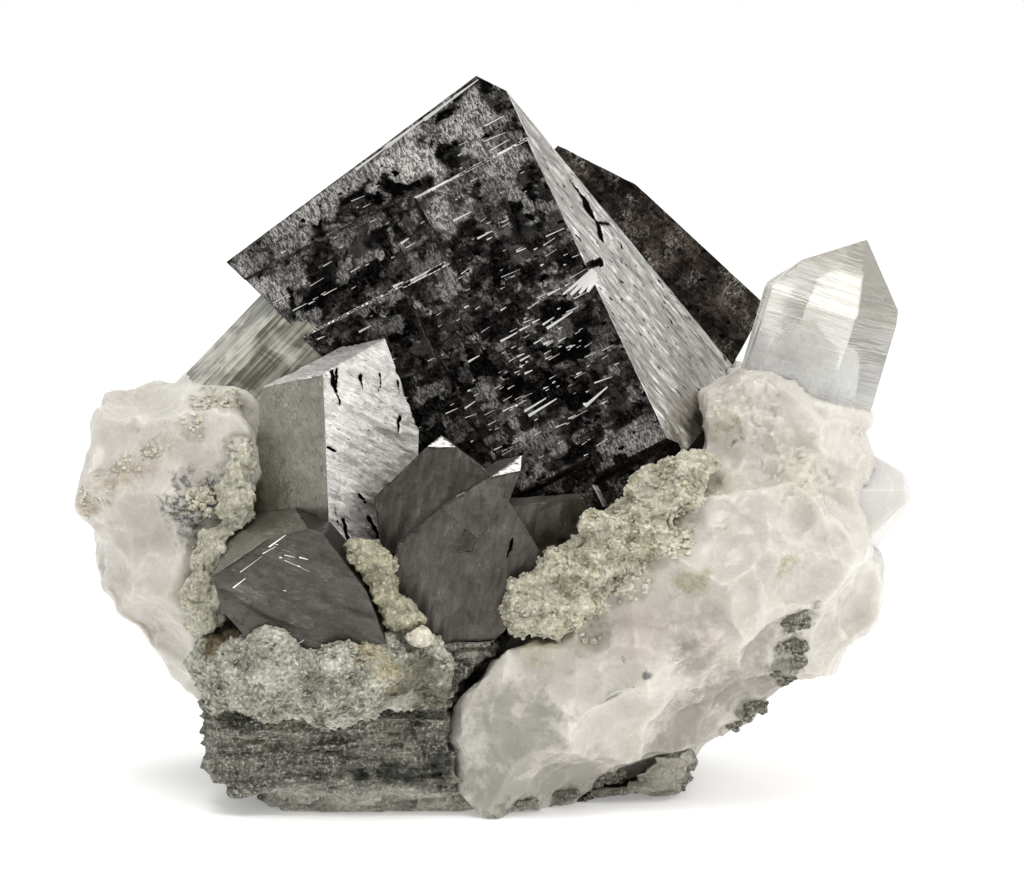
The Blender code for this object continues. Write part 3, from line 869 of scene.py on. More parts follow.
class Metal(Enum):
    """The finishes of the arsenopyrite faces."""

    # Nearly black, with small square tiles and scattered silver flecks; the near-black is partly painted
    # reflection of the dark room in front of the face
    ETCHED = Arsenopyrite(
        "etched_arsenopyrite", dark="#161617", tint="#453d39", light="#dcd9d4", roughness=0.3,
        fleck=(0.26, 0.62), fleck_turn=28.0, fleck_floor=0.02, fleck_swirl=0.9, fleck_cut=(0.47, 0.6),
        lift=0.6, patch=2.2, patch_cut=0.56, line_strength=0.02, pit=(1.6, 1.2), pit_cut=0.3,
        darkening_colour="#060606", tile=(3.6, 2.6), tile_strength=0.7, tile_wander=1.1, speckle=0.5,
        speckle_strength=0.9, relief=0.08
    )
    # A pale steel edge that catches the light
    LEDGE = Arsenopyrite(
        "ledge_arsenopyrite", dark="#dcd9d5", tint="#eceae6", light="#fbf9f6", roughness=0.4,
        fleck_floor=0.6, line_strength=0.05, pit_cut=0.1, darkening_colour="#1d1b1a"
    )
    # Slivers of fresh metal, almost white
    FRESH = Arsenopyrite(
        "fresh_arsenopyrite", dark="#eceae6", tint="#f6f4f1", light="#fdfcfa", roughness=0.45,
        fleck_floor=0.5, line_strength=0.1, pit_cut=0.1
    )
    # Brown-black and dull, with faint tiles; on faces that look forwards the brown-black is partly painted
    # reflection of the dark room in front
    DARK = Arsenopyrite(
        "dark_arsenopyrite", dark="#262423", tint="#554b43", light="#c4c0ba", roughness=0.36,
        fleck=(0.3, 0.5), fleck_turn=20.0, fleck_floor=0.04, fleck_swirl=0.9, patch=3.0, patch_cut=0.5,
        line_strength=0.03, pit=(1.6, 1.2), pit_cut=0.28, tile=(3.4, 2.6), tile_strength=0.6,
        tile_wander=1.2, speckle=0.6, speckle_strength=0.7, relief=0.07
    )
    # Silver-grey, with long growth lines and dark slits
    BRIGHT = Arsenopyrite(
        "bright_arsenopyrite", dark="#8f8c87", tint="#bcb9b4", light="#fdfbf8", roughness=0.34,
        fleck=(3.0, 0.4), fleck_floor=0.3, line=(6.0, 0.34), line_strength=0.45, pit=(1.5, 0.36),
        pit_cut=0.318, tile=(3.6, 1.2), tile_strength=0.1, tile_wander=0.3, speckle=0.5,
        speckle_strength=0.08, relief=0.07
    )
    # Brushed silver, nearly white, with deep growth lines
    SILVER = Arsenopyrite(
        "silver_arsenopyrite", dark="#c9c6c1", tint="#e6e3df", light="#fffefc", roughness=0.55,
        fleck=(1.8, 0.4), fleck_floor=0.5, line=(2.8, 0.36), line_strength=0.6, pit=(1.1, 0.26),
        pit_cut=0.28, tile=(2.4, 0.9), tile_strength=0.1, tile_wander=0.3, speckle=0.5, speckle_strength=0.1,
        relief=0.12
    )
    # Even mid grey with short fine lines
    GREY = Arsenopyrite(
        "grey_arsenopyrite", dark="#8b8881", tint="#9c998d", light="#c9c5bd", roughness=0.42,
        fleck=(0.6, 0.2), fleck_floor=0.1, line=(3.0, 0.5), line_strength=0.06, pit=(0.7, 0.12),
        pit_cut=0.29, tile=(3.0, 2.4), tile_strength=0.1, speckle=0.3, speckle_strength=0.16
    )
    # Dark grey with long pale lines and dark slits
    STRIATED = Arsenopyrite(
        "striated_arsenopyrite", dark="#4f4c47", tint="#87827a", light="#d8d4cd", roughness=0.34,
        fleck=(2.6, 0.3), fleck_floor=0.1, patch=5.0, patch_cut=0.5, line=(7.0, 0.5), line_strength=0.25,
        pit=(1.8, 0.4), pit_cut=0.315, tile=(5.0, 3.0), tile_strength=0.3, tile_wander=0.7, speckle=0.5,
        speckle_strength=0.3, relief=0.06
    )
    # Smooth dark slate grey with faint lines; the dark grey is partly painted reflection of the dark room in
    # front of the face
    SLATE = Arsenopyrite(
        "slate_arsenopyrite", dark="#45433f", tint="#64605a", light="#a8a49c", roughness=0.36,
        fleck=(0.9, 0.2), fleck_floor=0.0, patch=4.0, patch_cut=0.55, line=(5.0, 0.7), line_strength=0.07,
        pit=(0.6, 0.14), pit_cut=0.26, tile=(4.0, 2.0), tile_strength=0.14, tile_wander=0.8, speckle=0.25,
        speckle_strength=0.14, relief=0.02
    )


class Relief(Enum):
    """How a crystal's face is worked."""

    PLATES = "growth plates with square corners"
    LINES = "ridges along the growth lines"
    CURVED = "low curved swells"
    PLAIN = "nearly flat"


# Crystals


@dataclass(frozen=True)
class FaceLook:
    """What one face of a crystal looks like, and which way that face looks.

    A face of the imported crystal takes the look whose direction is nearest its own. slope turns the growth
    lines on the face, in degrees up to the right. Cells are the mesh's width in millimetres.
    """

    azimuth: float
    elevation: float
    metal: Metal
    relief: Relief = Relief.PLAIN
    slope: float = 0.0
    cell: float = 1.0
    depth: float = 0.06


@dataclass
class Plane:
    """One flat face of a packed crystal, as the cutting and the relief need it."""

    normal: Vector
    along: Vector
    across: Vector
    look: FaceLook
    rim: list[tuple[Vector, Vector]]


def split_to_cells(
    bm: bmesh.types.BMesh, layer: bmesh.types.BMLayerItem, number: int, axis: Vector, cell: float
) -> None:
    """Cuts a flat face into strips, halving it again and again until no strip is wider than a cell.

    Args:
        bm: the mesh.
        layer: the whole-number layer that keeps each face's number.
        number: the flat face to cut.
        axis: the direction in the face across the cuts.
        cell: the width of a strip, in millimetres.
    """
    faces = [face for face in bm.faces if face[layer] == number]
    reach = [vert.co.dot(axis) for face in faces for vert in face.verts]
    waiting = [(faces, math.floor(min(reach) / cell), math.ceil(max(reach) / cell))]
    while waiting:
        batch, low, high = waiting.pop()
        if high - low < 2 or not batch:
            continue
        middle = (low + high) // 2
        height = middle * cell
        geometry = [*batch, *{edge for face in batch for edge in face.edges}]
        cut = bmesh.ops.bisect_plane(bm, geom=geometry, dist=1e-4, plane_co=axis * height, plane_no=axis)
        halves: tuple[list, list] = ([], [])
        for item in cut["geom"]:
            if isinstance(item, bmesh.types.BMFace):
                halves[item.calc_center_median().dot(axis) > height].append(item)
        waiting.append((halves[0], low, middle))
        waiting.append((halves[1], middle, high))


def distance_to_rim(points: Array, rim: list[tuple[Vector, Vector]]) -> Array:
    """Measures how far points lie from the nearest edge of a face.

    Args:
        points: one row for each point.
        rim: the ends of the face's edges.

    Returns:
        One distance for each point.
    """
    nearest = np.full(len(points), np.inf)
    for start, end in rim:
        first = np.array(start)
        run = np.array(end) - first
        share = np.clip((points - first) @ run / max(run @ run, 1e-9), 0.0, 1.0)
        nearest = np.minimum(nearest, np.linalg.norm(points - first - share[:, None] * run, axis=1))
    return nearest


@dataclass(frozen=True)
class Crack:
    """An open crack or slot: the places it runs through, its half width in millimetres, and how much of that
    width is gone at the end of each stretch.
    """

    line: tuple[Triple, ...]
    width: float = 0.4
    taper: float = 0.0


@dataclass
class Crystal:
    """An arsenopyrite crystal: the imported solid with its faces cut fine, worked in relief and dressed."""

    node: str
    slot: str
    looks: tuple[FaceLook, ...]
    origin: Triple
    seed: int
    wear: float = 0.05
    cracks: tuple[Crack, ...] = ()
    crack_depth: float = 0.5
    # How far the rim of a face stays flat, and how wide its chips are
    rim: float = 0.7
    chip: float = 1.7
    # One plate for this area, its half lengths along and across, and its share of the depth
    plate_area: float = 14.0
    plate_reach: tuple[Pair, ...] = ((0.5, 4.5), (0.4, 3.0))
    plate_lift: Pair = (0.3, 1.0)
    # How far apart the faces lie in the pattern of their finishes
    apart: float = 13.7

    def to_cracks(self, points: Array) -> Array:
        """Measures how far points lie from the nearest crack, as a share of its width.

        Args:
            points: one row for each point, in millimetres.

        Returns:
            One number for each point, under 1 inside a crack.
        """
        nearest = np.full(len(points), np.inf)
        ragged = rough_noise(points / 0.6, 3, self.seed) * 0.5
        for crack in self.cracks:
            for start, end in zip(np.array(crack.line), np.array(crack.line[1:])):
                run = end - start
                share = np.clip((points - start) @ run / (run @ run), 0.0, 1.0)
                away = np.linalg.norm(points - start - np.outer(share, run), axis=1)
                nearest = np.minimum(nearest, away / (crack.width * (1.0 - crack.taper * share)) + ragged)
        return nearest

    def heights(self, plane: Plane, along: Array, across: Array, number: int) -> Array:
        """Works out how far each point of a face stands out.

        Args:
            plane: the face.
            along: places along the growth lines.
            across: places across them.
            number: the face's number, which picks its pattern.

        Returns:
            One height in millimetres for each point.
        """
        depth = plane.look.depth
        seed = self.seed * 101 + number
        flat = np.zeros(len(along))
        if plane.look.relief is Relief.PLATES:
            rng = np.random.default_rng(seed)
            height = flat.copy()
            area = (np.ptp(along) + 1.0) * (np.ptp(across) + 1.0)
            for _ in range(int(area / self.plate_area)):
                middle = rng.uniform(along.min(), along.max()), rng.uniform(across.min(), across.max())
                half = [rng.uniform(*reach) for reach in self.plate_reach]
                inside = (abs(along - middle[0]) < half[0]) & (abs(across - middle[1]) < half[1])
                height[inside] += rng.choice((-1.0, 1.0)) * rng.uniform(*self.plate_lift) * depth
            fine = rough_noise(np.stack([along / 0.9, across / 1.4, flat], axis=1), 3, seed)
            return np.clip(height, -2.5 * depth, 1.5 * depth) + fine * depth * 0.35
        if plane.look.relief is Relief.LINES:
            ridges = rough_noise(np.stack([along / 5.0, across / 0.9, flat], axis=1), 4, seed)
            steps = np.floor(ridges * 3.0) / 3.0
            return (ridges * 0.4 + steps) * depth
        if plane.look.relief is Relief.CURVED:
            bend = smooth_noise(np.stack([along / 8.0, across / 8.0, flat], axis=1), seed + 3) * 2.5
            swells = rough_noise(np.stack([along / 14.0, (across + bend) / 1.8, flat], axis=1), 3, seed)
            return swells * depth
        return rough_noise(np.stack([along / 3.0, across / 3.0, flat], axis=1), 3, seed) * depth * 0.5

    def tone(self, plane: Plane, along: Array, across: Array) -> Array:
        """Says where flecks gather, from 0 to 1, for each point of a face."""
        return np.zeros(len(along))

    def shade(self, plane: Plane, points: Array, along: Array, across: Array) -> Array:
        """Says where the colour is darkened, from 0 to 1, for each point of a face: painted shade in the
        cracks.
        """
        return np.clip(1.6 - self.to_cracks(points), 0.0, 1.0)

    def planes_of(self, bm: bmesh.types.BMesh, layer: bmesh.types.BMLayerItem) -> list[Plane]:
        """Numbers the crystal's flat faces and chooses each one's look.

        Args:
            bm: the crystal's mesh.
            layer: the whole-number layer that keeps each face's number.

        Returns:
            The faces in the order of their numbers.
        """
        planes = []
        for number, face in enumerate(bm.faces):
            face[layer] = number
            normal = face.normal.copy()
            look = max(self.looks, key=lambda item: direction(item.azimuth, item.elevation).dot(normal))
            along = Matrix.Rotation(math.radians(look.slope), 3, normal) @ level_in(normal)
            rim = [tuple(vert.co.copy() for vert in edge.verts) for edge in face.edges]
            planes.append(Plane(normal, along, normal.cross(along), look, rim))
        return planes

    def build(self) -> Piece:
        """Cuts, works and dresses the crystal.

        Returns:
            The finished piece.
        """
        bm = merged_copy(self.node)
        bmesh.ops.dissolve_limit(bm, angle_limit=SAME_FACE, verts=bm.verts, edges=bm.edges)
        layer = bm.faces.layers.int.new("plane")
        planes = self.planes_of(bm, layer)
        for number, plane in enumerate(planes):
            for axis in (plane.along, plane.across):
                split_to_cells(bm, layer, number, axis, plane.look.cell)
        bmesh.ops.triangulate(bm, faces=[face for face in bm.faces if len(face.verts) > 4])
        piece = new_piece(f"{self.node}_crystal", bm)
        self.work(piece, planes)
        finish_piece(piece, self.slot, self.node)
        return piece

    def work(self, piece: Piece, planes: list[Plane]) -> None:
        """Raises the relief and gives each face its finish and its grain.

        Args:
            piece: the crystal, with its faces cut to cells.
            planes: its flat faces.
        """
        mesh = piece.data
        points = points_of(mesh)
        normals = normals_of(mesh)
        polygons = len(mesh.polygons)
        owner = np.empty(polygons, np.int32)
        mesh.attributes["plane"].data.foreach_get("value", owner)
        loop_points = np.empty(len(mesh.loops), np.int32)
        mesh.loops.foreach_get("vertex_index", loop_points)
        sides = np.empty(polygons, np.int32)
        mesh.polygons.foreach_get("loop_total", sides)
        loop_owner = np.repeat(owner, sides)
        lowest = np.full(len(points), len(planes))
        highest = np.full(len(points), -1)
        np.minimum.at(lowest, loop_points, loop_owner)
        np.maximum.at(highest, loop_points, loop_owner)

        grain = np.zeros((len(mesh.loops), 3), np.float32)
        tone = np.zeros(len(points), np.float32)
        shade = np.zeros(len(points), np.float32)
        metals = list(dict.fromkeys(plane.look.metal for plane in planes))
        moved = points.copy()
        for number, plane in enumerate(planes):
            place = points - np.array(self.origin)
            along = place @ np.array(plane.along)
            across = place @ np.array(plane.across)
            mine = loop_owner == number
            grain[mine] = np.stack(
                [
                    along[loop_points[mine]], across[loop_points[mine]],
                    np.full(mine.sum(), number * self.apart)
                ],
                axis=1
            )
            inner = np.flatnonzero((lowest == number) & (highest == number))
            if len(inner) == 0:
                continue
            height = self.heights(plane, along[inner], across[inner], number)
            height -= np.clip(1.2 - self.to_cracks(points[inner]), 0.0, 1.0) * self.crack_depth
            fade = np.clip(distance_to_rim(points[inner], plane.rim) / self.rim, 0.0, 1.0)
            moved[inner] += np.outer(height * fade, np.array(plane.normal))
            tone[inner] = self.tone(plane, along[inner], across[inner])
            shade[inner] = self.shade(plane, points[inner], along[inner], across[inner])
        edge = lowest != highest
        chips = np.clip(rough_noise(points[edge] / self.chip, 4, self.seed), -1.0, 0.1) * self.wear
        moved[edge] += normals[edge] * chips[:, None]
        move_points(mesh, keep_inside(moved))
        mesh.attributes.new("grain", "FLOAT_VECTOR", "CORNER").data.foreach_set("vector", grain.reshape(-1))
        mark(mesh, "tone", tone)
        mark(mesh, "shade", shade)
        for metal in metals:
            mesh.materials.append(MATERIALS[metal])
        slots = np.array([metals.index(plane.look.metal) for plane in planes], np.int32)
        mesh.polygons.foreach_set("material_index", slots[owner])
        mesh.set_sharp_from_angle(angle=CRYSTAL_EDGE)
        mesh.update()


MATERIALS: dict[Metal, Material] = {}


@dataclass
class LargeCrystal(Crystal):
    """The big stepped crystal. Its front has bright ledges that catch the light, and fleck patches."""

    # Fleck patches on the front, from its top corner: right, up, reach right, reach up, strength
    patches: tuple[tuple[float, float, float, float, float], ...] = (
        (-4.0, -4.5, 4.0, 3.0, 0.6), (-12.5, -4.0, 3.4, 3.4, 1.0), (-20.0, -3.5, 4.0, 2.0, 0.5),
        (-29.0, -4.5, 5.0, 2.4, 0.6), (-34.0, -11.0, 2.4, 4.0, 0.6), (-12.0, -12.0, 3.0, 2.4, 0.5),
        (-4.0, -10.8, 3.4, 1.2, 0.5), (-3.0, -14.0, 1.2, 3.4, 0.4), (-22.0, -13.0, 4.0, 1.4, 0.3),
        (-14.5, -40.5, 2.6, 1.6, 0.45), (-3.0, -47.0, 4.0, 2.0, 0.4)
    )
    # How many small plates of the front are lit or dark, with their half lengths and strengths
    plates: int = 260
    lit_plates: tuple[Pair, ...] = ((0.4, 2.2), (0.05, 0.36))
    dark_plates: tuple[Pair, ...] = ((0.5, 2.4), (0.28, 0.42))
    # The lit part of the long ledge lies right of this
    ledge_start: float = -10.2

    def shade(self, plane: Plane, points: Array, along: Array, across: Array) -> Array:
        """Adds the deep blotches of the front, which are its own dark tone, to the cracks' painted shade,
        and paints shade into the gaps of its lit ledges and onto the unlit part of the long ledge.

        Args:
            plane: the face.
            points: places on it.
            along: places along the growth lines.
            across: places across them.

        Returns:
            0 to 1 for each point.
        """
        shade = super().shade(plane, points, along, across)
        if plane.look.metal is Metal.ETCHED:
            dark = self.plated(along, across, self.seed + 7, *self.dark_plates)
            shade = np.maximum(shade, dark * (self.fleck_patches(along, across) < 0.3))
        # Painted shade: the ledges are painted dark in ragged gaps and left of ledge_start, where they are
        # unlit
        if plane.look.metal is Metal.LEDGE:
            gaps = rough_noise(points / 2.0, 3, self.seed + 9)
            shade = np.maximum(shade, (gaps > 0.15) | (points[:, 0] < self.ledge_start))
        return shade

    def plated(self, along: Array, across: Array, seed: int, reach: Pair, strength: Pair) -> Array:
        """Scatters small square plates with ragged edges over the front.

        Args:
            along: places along the growth lines.
            across: places across them.
            seed: picks the plates.
            reach: the smallest and largest half length of a plate, in millimetres.
            strength: the least and most that a plate stands out.

        Returns:
            The strength for each point, and 0 off the plates. Every other plate is blank and covers others.
        """
        rng = np.random.default_rng(seed)
        bend = rough_noise(np.stack([along / 1.4, across / 1.4, along * 0.0], axis=1), 4, seed) * 0.5
        found = np.zeros(len(along))
        for _ in range(self.plates):
            middle = rng.uniform(along.min(), along.max()), rng.uniform(across.min(), across.max())
            half = rng.uniform(*reach), rng.uniform(*reach) * 0.75
            inside = (abs(along + bend - middle[0]) < half[0]) & (abs(across + bend - middle[1]) < half[1])
            found[inside] = rng.uniform(*strength) * rng.integers(0, 2)
        return found

    def tone(self, plane: Plane, along: Array, across: Array) -> Array:
        """Gathers flecks in the patches of the front face.

        Args:
            plane: the face.
            along: places along the growth lines.
            across: places across them.

        Returns:
            0 to 1 for each point.
        """
        if plane.look.metal is not Metal.ETCHED:
            return np.zeros(len(along))
        plates = self.plated(along, across, self.seed, *self.lit_plates)
        return np.maximum(plates, self.fleck_patches(along, across))

    def fleck_patches(self, along: Array, across: Array) -> Array:
        """Draws the large fleck patches of the front face.

        Args:
            along: places along the growth lines.
            across: places across them.

        Returns:
            0 to 1 for each point.
        """
        tone = np.zeros(len(along))
        ragged = rough_noise(np.stack([along / 2.0, across / 2.0, along * 0.0], axis=1), 4, self.seed)
        for right, up, reach_right, reach_up, strength in self.patches:
            away = np.hypot((along - right) / reach_right, (across - up) / reach_up) + ragged * 0.8
            tone = np.maximum(tone, strength * np.clip(1.5 - away, 0.0, 1.0))
        return tone


# Quartz points


@dataclass(frozen=True)
class Point:
    """A six-sided quartz crystal, leaning over and turned, with a tip of six sloping faces."""

    name: str
    centre: Triple
    lean: Pair
    turn: float
    sides: tuple[float, ...]
    tips: tuple[float, ...]
    foot: float
    end: float
    blank: float = 200.0
    tip_elevation: float = 38.2
    bevel: float = 0.12
    # How far apart the faces lie in the pattern of steps
    apart: float = 7.3

    def outside(self, points: Array) -> Array:
        """Measures how far points lie outside the crystal's sides.

        Args:
            points: one row for each point, in millimetres.

        Returns:
            One distance for each point, under 0 inside.
        """
        turned = np.array(self.matrix().inverted())
        local = points @ turned[:3, :3].T + turned[:3, 3]
        away = np.full(len(points), -np.inf)
        for number, side in enumerate(self.sides):
            azimuth = self.turn + 360.0 / len(self.sides) * number
            away = np.maximum(away, local @ np.array(direction(azimuth, 0.0)) - side)
        return np.where(local[:, 2] > self.foot, away, np.inf)

    def matrix(self) -> Matrix:
        """Gives the lean and the place of the crystal."""
        lean = Euler((math.radians(self.lean[0]), math.radians(self.lean[1]), 0.0)).to_matrix().to_4x4()
        return Matrix.Translation(Vector(self.centre) + SHIFT) @ lean

    def draw(self, grow: float, lift: float = 0.0) -> bmesh.types.BMesh:
        """Cuts the crystal from a cube.

        Args:
            grow: how much larger all round, in millimetres.
            lift: how much higher the foot is.

        Returns:
            The crystal in millimetres.
        """
        bm = bmesh.new()
        bmesh.ops.create_cube(bm, size=self.blank)
        cuts = [
            (Vector((0.0, 0.0, -1.0)), grow - self.foot - lift), (Vector((0.0, 0.0, 1.0)), grow + self.end)
        ]
        for number, (side, tip) in enumerate(zip(self.sides, self.tips)):
            azimuth = self.turn + 360.0 / len(self.sides) * number
            cuts.append((direction(azimuth, 0.0), side + grow))
            cuts.append((direction(azimuth, self.tip_elevation), tip + grow))
        for normal, distance in cuts:
            everything = [*bm.verts, *bm.edges, *bm.faces]
            cut = bmesh.ops.bisect_plane(
                bm, geom=everything, dist=1e-5, plane_co=normal * distance, plane_no=normal, clear_outer=True
            )
            rim = [item for item in cut["geom_cut"] if isinstance(item, bmesh.types.BMEdge)]
            bmesh.ops.holes_fill(bm, edges=rim)
        bmesh.ops.recalc_face_normals(bm, faces=bm.faces)
        return bm

    def build(self, clear: Material, slot: str, inset: float = 0.04) -> Piece:
        """Builds the see-through crystal with its grain across the side faces.

        Args:
            clear: its material.
            slot: the record's material slot.
            inset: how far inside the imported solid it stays.

        Returns:
            The finished piece.
        """
        bm = self.draw(-inset)
        edges = list(bm.edges)
        bmesh.ops.bevel(
            bm, geom=edges, offset=self.bevel, segments=2, affect="EDGES", profile=0.5, material=-1
        )
        grain = bm.loops.layers.float_vector.new("grain")
        for face in bm.faces:
            level = level_in(face.normal)
            for loop in face.loops:
                loop[grain] = (loop.vert.co.dot(level), loop.vert.co.z, face.index * self.apart)
        bmesh.ops.transform(bm, matrix=self.matrix(), verts=bm.verts)
        piece = new_piece(self.name, bm)
        piece.data.materials.append(clear)
        finish_piece(piece, slot)
        return piece


@dataclass(frozen=True)
class Cloud:
    """A milky cloud that fills the foot of a clear crystal, with a rounded, ragged top."""

    name: str
    point: Point
    width: float
    bottom: float
    top: float
    seed: int
    # How wide its ragged bumps are, and how far they sink and rise
    bump: float = 2.4
    bump_reach: Pair = (-1.0, 0.4)

    def build(self, finish: Material, slot: str) -> Piece:
        """Builds the cloud inside the crystal.

        Args:
            finish: its material.
            slot: the record's material slot.

        Returns:
            The finished piece.
        """
        bm = bmesh.new()
        bmesh.ops.create_icosphere(bm, subdivisions=6, radius=1.0)
        middle = (self.bottom + self.top) / 2.0
        stretch = Matrix.Diagonal((self.width, self.width, (self.top - self.bottom) / 2.0, 1.0))
        placed = self.point.matrix() @ Matrix.Translation((0.0, 0.0, middle)) @ stretch
        bmesh.ops.transform(bm, matrix=placed, verts=bm.verts)
        piece = new_piece(self.name, bm)
        points = points_of(piece.data)
        ragged = np.clip(rough_noise(points / self.bump, 5, self.seed), *self.bump_reach)
        move_points(piece.data, points + normals_of(piece.data) * ragged[:, None])
        piece.data.materials.append(finish)
        finish_piece(piece, slot)
        return piece


# Rough masses


class Bump(Enum):
    """How the skin of a rough mass breaks up."""

    HOLLOWS = "round hollows with sharp rims between them"
    FACETS = "small flat faces, each tilted its own way"
    GRAINS = "round grains"
    SWELLS = "soft swells"


@dataclass(frozen=True)
class Swell:
    """One size of bump: how it breaks up, its width and its height in millimetres."""

    kind: Bump
    width: float
    height: float


@dataclass
class Mass:
    """A rough body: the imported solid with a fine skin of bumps, facets or grains."""

    node: str
    slot: str
    name: str
    voxel: float
    swells: tuple[Swell, ...]
    seed: int
    points: tuple[Point, ...] = ()
    root: float = 7.0
    collar: float = 1.4
    # The least and most that the skin stands out there
    collar_rise: Pair = (0.15, 0.7)
    rough: tuple[Spot, ...] = ()
    rough_floor: float = 1.0
    squeeze: Triple = (1.0, 1.0, 1.0)
    # Below this height the skin never sinks, so that the specimen stands as the solids do
    foot: float = 0.6
    # How wide the grainy patches' ragged edges are
    patch: float = 4.0
    # How high the rims stand between hollows and how deep these are, as shares of a bump's height
    rim: float = 1.8
    hollow: float = 0.6
    # How much of the facets is left where the skin is smooth
    smooth: float = 0.06

    def sugar(self, points: Array) -> Array:
        """Says how grainy each point of the skin is, from 0 to 1.

        Args:
            points: one row for each point, in millimetres.

        Returns:
            One value for each point.
        """
        if self.rough_floor >= 1.0:
            return np.ones(len(points))
        ragged = rough_noise(points / self.patch, 4, self.seed)
        sugar = np.clip(self.rough_floor + ragged * 0.5, 0.05, 1.0)
        for spot in self.rough:
            away = np.linalg.norm(points - np.array(spot.place), axis=1) / spot.reach + ragged * 0.3
            sugar = np.maximum(sugar, np.clip((1.3 - away) * 3.0, 0.0, 1.0) * spot.strength)
        return sugar

    def bumps(self, points: Array, sugar: Array) -> Array:
        """Adds up the bumps at each point of the skin.

        Args:
            points: one row for each point, in millimetres.
            sugar: how grainy each point is.

        Returns:
            One height in millimetres for each point.
        """
        total = np.zeros(len(points))
        for number, swell in enumerate(self.swells):
            places = points * np.array(self.squeeze) / swell.width
            seed = self.seed * 31 + number
            if swell.kind is Bump.HOLLOWS:
                rims = (1.0 - grain_noise(places, seed)) ** 2
                total += rims * swell.height * self.rim - self.hollow * swell.height
            elif swell.kind is Bump.FACETS:
                share = self.smooth + (1.0 - self.smooth) * sugar
                total += facet_noise(places, seed) * swell.height * share
            elif swell.kind is Bump.GRAINS:
                total += (grain_noise(places, seed) - 0.5) * swell.height * sugar
            else:
                total += rough_noise(places, 3, seed) * swell.height
        return total

    def build(self, finish: Material) -> Piece:
        """Remeshes, roughens and dresses the mass.

        Args:
            finish: its material.

        Returns:
            The finished piece.
        """
        piece = new_piece(self.name, merged_copy(self.node))
        cutters = []
        for point in self.points:
            cutter = new_piece(f"{point.name}_socket", point.draw(0.05, self.root))
            cutter.data.transform(Matrix.Scale(MM, 4) @ point.matrix() @ Matrix.Scale(1.0 / MM, 4))
            modifier = piece.modifiers.new(cutter.name, "BOOLEAN")
            modifier.operation = "DIFFERENCE"
            modifier.solver = "MANIFOLD"
            modifier.object = cutter
            cutters.append(cutter)
        remesh = piece.modifiers.new("skin", "REMESH")
        remesh.mode = "VOXEL"
        remesh.voxel_size = self.voxel * MM
        settle(piece)
        for cutter in cutters:
            bpy.data.objects.remove(cutter, do_unlink=True)
        mesh = piece.data
        points = points_of(mesh)
        sugar = self.sugar(points)
        bumps = self.bumps(points, sugar)
        for point in self.points:
            # The mass closes round the foot of each crystal
            near = np.clip(2.0 - point.outside(points) / self.collar, 0.0, 1.0)
            bumps += (np.clip(bumps, *self.collar_rise) - bumps) * near
        moved = points + normals_of(mesh) * bumps[:, None]
        floor = points[:, 2] < self.foot
        moved[floor, 2] = np.maximum(moved[floor, 2], np.maximum(points[floor, 2], 0.0))
        move_points(mesh, keep_inside(moved))
        mark(mesh, "sugar", sugar)
        mesh.set_sharp_from_angle(angle=ROCK_EDGE)
        mesh.materials.clear()
        mesh.materials.append(finish)
        finish_piece(piece, self.slot, self.node)
        return piece


@dataclass
class Crumbs:
    """Loose little crystals grown on a rough mass: six-sided plates that stand at all angles."""

    name: str
    slot: str
    count: int
    size: Pair
    seed: int
    spots: tuple[Spot, ...] = ()
    thickness: float = 0.4
    tumble: float = 0.8
    drift: float = 2.5
    # Shares of a crumb's size: its middle's height, its half width below and above, and its narrowest side
    lift: float = 0.15
    foot: float = 0.5
    head: float = 0.42
    narrow: float = 0.6

    def chosen(self, centres: Array, rng: np.random.Generator) -> Array:
        """Picks the faces of the host that carry a crumb.

        Args:
            centres: the middle of each face, in millimetres.
            rng: the random numbers.

        Returns:
            The numbers of the faces.
        """
        share = np.ones(len(centres)) if not self.spots else np.zeros(len(centres))
        for spot in self.spots:
            away = np.linalg.norm(centres - np.array(spot.place), axis=1) / spot.reach
            share = np.maximum(share, np.clip((1.25 - away) * 2.0, 0.0, 1.0) * spot.strength)
        drift = np.clip(0.55 + rough_noise(centres / self.drift, 3, self.seed), 0.0, 1.0)
        share = share * drift * (centres[:, 2] > self.size[1])
        count = min(self.count, np.count_nonzero(share))
        return rng.choice(len(centres), size=count, replace=False, p=share / share.sum())

    def build(self, host: Piece, finish: Material) -> Piece:
        """Grows the crumbs on the host's skin.

        Args:
            host: the rough mass, already finished.
            finish: the crumbs' material.

        Returns:
            The finished piece.
        """
        rng = np.random.default_rng(self.seed)
        mesh = host.data
        centres = np.empty(len(mesh.polygons) * 3)
        mesh.polygons.foreach_get("center", centres)
        centres = centres.reshape(-1, 3) / MM
        bm = bmesh.new()
        for number in self.chosen(centres, rng):
            normal = Vector(mesh.polygons[int(number)].normal)
            tumble = Vector(rng.normal(0.0, self.tumble, 3)) + normal
            size = rng.uniform(*self.size)
            turn = tumble.to_track_quat("Z", "Y").to_matrix().to_4x4()
            place = Matrix.Translation(Vector(centres[number]) + normal * size * self.lift) @ turn
            stretch = Matrix.Diagonal((1.0, rng.uniform(self.narrow, 1.0), 1.0, 1.0))
            bmesh.ops.create_cone(
                bm, cap_ends=True, segments=6, radius1=size * self.foot, radius2=size * self.head,
                depth=size * self.thickness, matrix=place @ stretch
            )
        piece = new_piece(self.name, bm)
        move_points(piece.data, keep_inside(points_of(piece.data)))
        piece.data.materials.append(finish)
        finish_piece(piece, self.slot)
        return piece


@dataclass(frozen=True)
class Ledge:
    """One bright sliver: right and up from the face's corner, its length, width and turn."""

    right: float
    up: float
    length: float
    width: float = 0.11
    turn: float = 0.0


@dataclass(frozen=True)
class LedgeCloud:
    """A cloud of ledges: its middle and its spread on the face, and how many."""

    right: float
    up: float
    spread_right: float
    spread_up: float
    count: int


